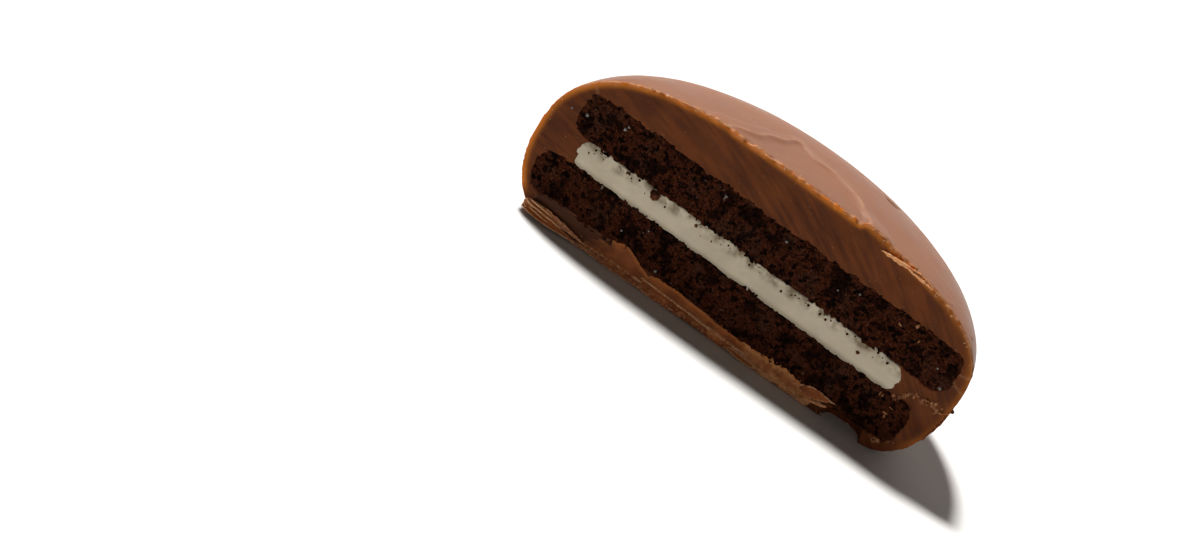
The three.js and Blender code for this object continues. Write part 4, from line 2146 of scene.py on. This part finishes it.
SMEARS = (
    Smear(-21.6, -11.6, 2.6, 0.15, 0.3, out=0.03, tone=-1.0, shift=0.15, glow=0.0),
    Smear(-15.6, -5.6, 1.4, 1.75, 0.48, out=0.06, tone=-0.85, shift=0.5, glow=0.9),
    Smear(-7.6, 5.3, 1.8, 0.5, 0.25, out=0.09, tone=-0.2, glow=0.8),
    Smear(3.8, 13.2, 1.75, 0.35, 0.5, out=0.12, tone=0.2, glow=0.8, ragged=2.6),
    Shaving((11.4, 1.45), (15.6, 2.15), 1.35, out=0.26, cup=0.4, tone=-0.25, ragged=0.12, narrow=0.85),
    Shaving((-7.8, 1.3), (0.2, 1.0), 0.3, out=0.2, cup=0.7, tone=0.3),
    Shaving((-2.5, 1.1), (5.6, 0.85), 0.34, out=0.22, cup=0.7, lean=-0.2, tone=0.3),
    Shaving((-14.0, 0.75), (-7.4, 0.85), 0.3, out=0.18, cup=0.7, tone=0.2),
    Shaving((3.3, 0.45), (6.7, 0.3), 0.7, out=0.3, cup=1.5, lean=-0.5, tone=0.1, glow=0.4, ragged=0.12),
    Shaving((6.5, 0.4), (9.8, 0.5), 0.35, out=0.3, cup=0.9, lean=-0.4, tone=0.6),
    Shaving((9.7, 0.45), (13.2, 0.5), 0.4, out=0.3, cup=0.9, lean=-0.3, tone=0.5),
    Shaving((12.4, 0.7), (14.8, 1.35), 0.38, out=0.36, cup=0.8, lean=-0.3, tone=0.6, ragged=0.5),
    Shaving((-16.8, 0.3), (-6.0, 0.2), 0.4, out=0.3, cup=0.9, lean=-0.5, tone=0.3),
)

LIP = (
    Shaving((-22.0, 0.7), (-14.8, 0.35), 1.3, out=0.72, cup=0.9, lean=-0.75, thickness=0.15, bow=0.1,
            ragged=0.1, tone=0.0, glow=0.35, narrow=0.8),
    Shaving((-21.9, 1.35), (-14.3, 0.75), 0.85, out=0.45, cup=1.0, lean=-0.4, thickness=0.14, bow=0.1,
            ragged=0.2, tone=0.25, glow=0.2, narrow=0.7),
    # The next three thin strands are painted pale as highlights along the lip's striations.
    Shaving((-21.7, 1.25), (-17.2, 0.85), 0.2, out=0.74, cup=0.9, lean=-0.6, ragged=0.12, tone=0.8),
    Shaving((-21.6, 0.9), (-18.1, 0.55), 0.18, out=0.86, cup=0.9, lean=-0.7, ragged=0.12, tone=0.8),
    Shaving((-21.5, 1.6), (-18.7, 1.35), 0.18, out=0.64, cup=0.9, lean=-0.4, ragged=0.12, tone=1.0),
    Shaving((-22.0, 1.3), (-20.9, 0.55), 0.95, out=0.6, cup=2.4, lean=-0.2, thickness=0.13, ragged=0.2,
            tone=0.4),
)

SLIVER = (
    Shaving((10.4, 18.0), (14.9, 18.25), 0.55, out=0.14, cup=1.0, lean=0.6, thickness=0.1, bow=-0.05,
            ragged=0.5, tone=0.9),
    Shaving((12.4, 18.2), (16.6, 17.6), 0.35, out=0.2, cup=1.0, lean=0.6, thickness=0.1, ragged=0.6,
            tone=1.0),
)

FLAKE_SPOTS = (
    (18.3, 5.8, 0.5), (18.6, 5.7, 0.3), (20.0, 5.1, 0.4), (19.8, 4.3, 0.42), (19.9, 4.0, 0.3),
    (16.0, 12.8, 0.42), (17.5, 13.7, 0.36), (18.4, 12.5, 0.4), (20.2, 1.3, 0.5), (20.8, 1.5, 0.45),
    (20.5, 1.1, 0.4), (20.4, 1.5, 0.3), (21.0, 1.3, 0.25), (21.7, 2.0, 0.28), (22.2, 2.2, 0.22),
    (22.0, 7.7, 0.4), (22.4, 7.9, 0.46), (22.9, 8.0, 0.36), (23.3, 8.1, 0.42), (22.6, 7.6, 0.32),
    (10.2, 18.9, 0.3), (11.3, 18.75, 0.36), (12.8, 18.5, 0.34), (14.3, 18.35, 0.4), (15.6, 17.95, 0.38),
    (16.4, 17.6, 0.34), (17.2, 17.3, 0.3),
)

SUGAR_SPOTS = (
    (-22.7, 12.0, 0.34), (-21.0, 12.3, 0.48), (-17.0, 13.3, 0.5), (-16.8, 13.7, 0.34), (22.7, 9.7, 0.4),
    (-6.9, 2.7, 0.4), (-12.0, 4.2, 0.3), (2.4, 13.2, 0.36),
)


def main() -> None:
    """Builds the cookie and the studio."""
    logging.basicConfig(level=logging.INFO, format="%(message)s")
    rng = random.Random(11)
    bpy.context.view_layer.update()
    shape = CookieShape.measured("chocolate_coating", "wafer_top")
    studio = Studio(Vector((0.523 * MM, shape.cut_y, 8.256 * MM)))
    studio.build()
    effects = Effects(KNIFE_CENTRE)
    sandwich = Sandwich(shape.cut_y)
    skin = SkinFinish("milk_chocolate_skin", 0.42, 0.45).build(effects)
    cut = CutFinish("milk_chocolate_cut", 0.55, 0.1).build(effects)
    crumb = WaferFinish("cocoa_crumb", 0.95, 0.03, cut_y=shape.cut_y).build(effects)
    ivory = CreamFinish("ivory_cream", 0.6, 0.15).build(effects)
    torn = ScrapFinish("torn_chocolate", 0.5, 0.12).build(effects)
    pale = FlakeFinish("crumbled_chocolate", 0.7, 0.2).build(effects)
    rim = FlakeFinish("crumbled_rim", 0.9, 0.03, light=(0.6, 0.31, 0.15),
                      dark=(0.45, 0.18, 0.06)).build(effects)
    lip = ScrapFinish("lip_chocolate", 0.36, 0.35).build(effects)
    sugar = SugarFinish("sugar", 0.25, 0.5).build()
    loose = WaferFinish("loose_crumb", 0.95, 0.03, cut_y=1.0, crumb=(0.1, 0.034, 0.015),
                        deep=(0.03, 0.01, 0.005), ash=(0.2, 0.08, 0.04)).build(effects)
    Coating(shape).build(sandwich.cores(), skin, cut)
    sandwich.bake_wafer(sandwich.top, crumb)
    sandwich.bake_wafer(sandwich.bottom, crumb)
    sandwich.spread_cream(ivory)
    shavings = Shavings(shape.cut_y)
    shavings.build(SMEARS, "knife_smears", torn)
    shavings.build(LIP, "torn_lip", lip)
    shavings.build(SLIVER, "curled_sliver", torn)
    bits = Bits(rng)
    bits.scatter(Chip.FLAKE, rim_places(shape, rng, 100), "edge_flakes", rim, "chocolate")
    fallen = placed(shape, FLAKE_SPOTS) + tear_places(shape, rng, 70)
    bits.scatter(Chip.FLAKE, fallen, "fallen_flakes", pale, "chocolate")
    bits.scatter(Chip.FLAKE, fringe_places(shape, rng, 190), "smear_crumbs", pale, "chocolate")
    bits.scatter(Chip.CRUMB, cream_places(sandwich, rng, 60), "cocoa_crumbs", loose, "wafer")
    grains = placed(shape, SUGAR_SPOTS, 0.05) + wafer_places(sandwich, rng, 18)
    bits.scatter(Chip.GRAIN, grains, "sugar_grains", sugar, "wafer")


if __name__ == "__main__":
    main()
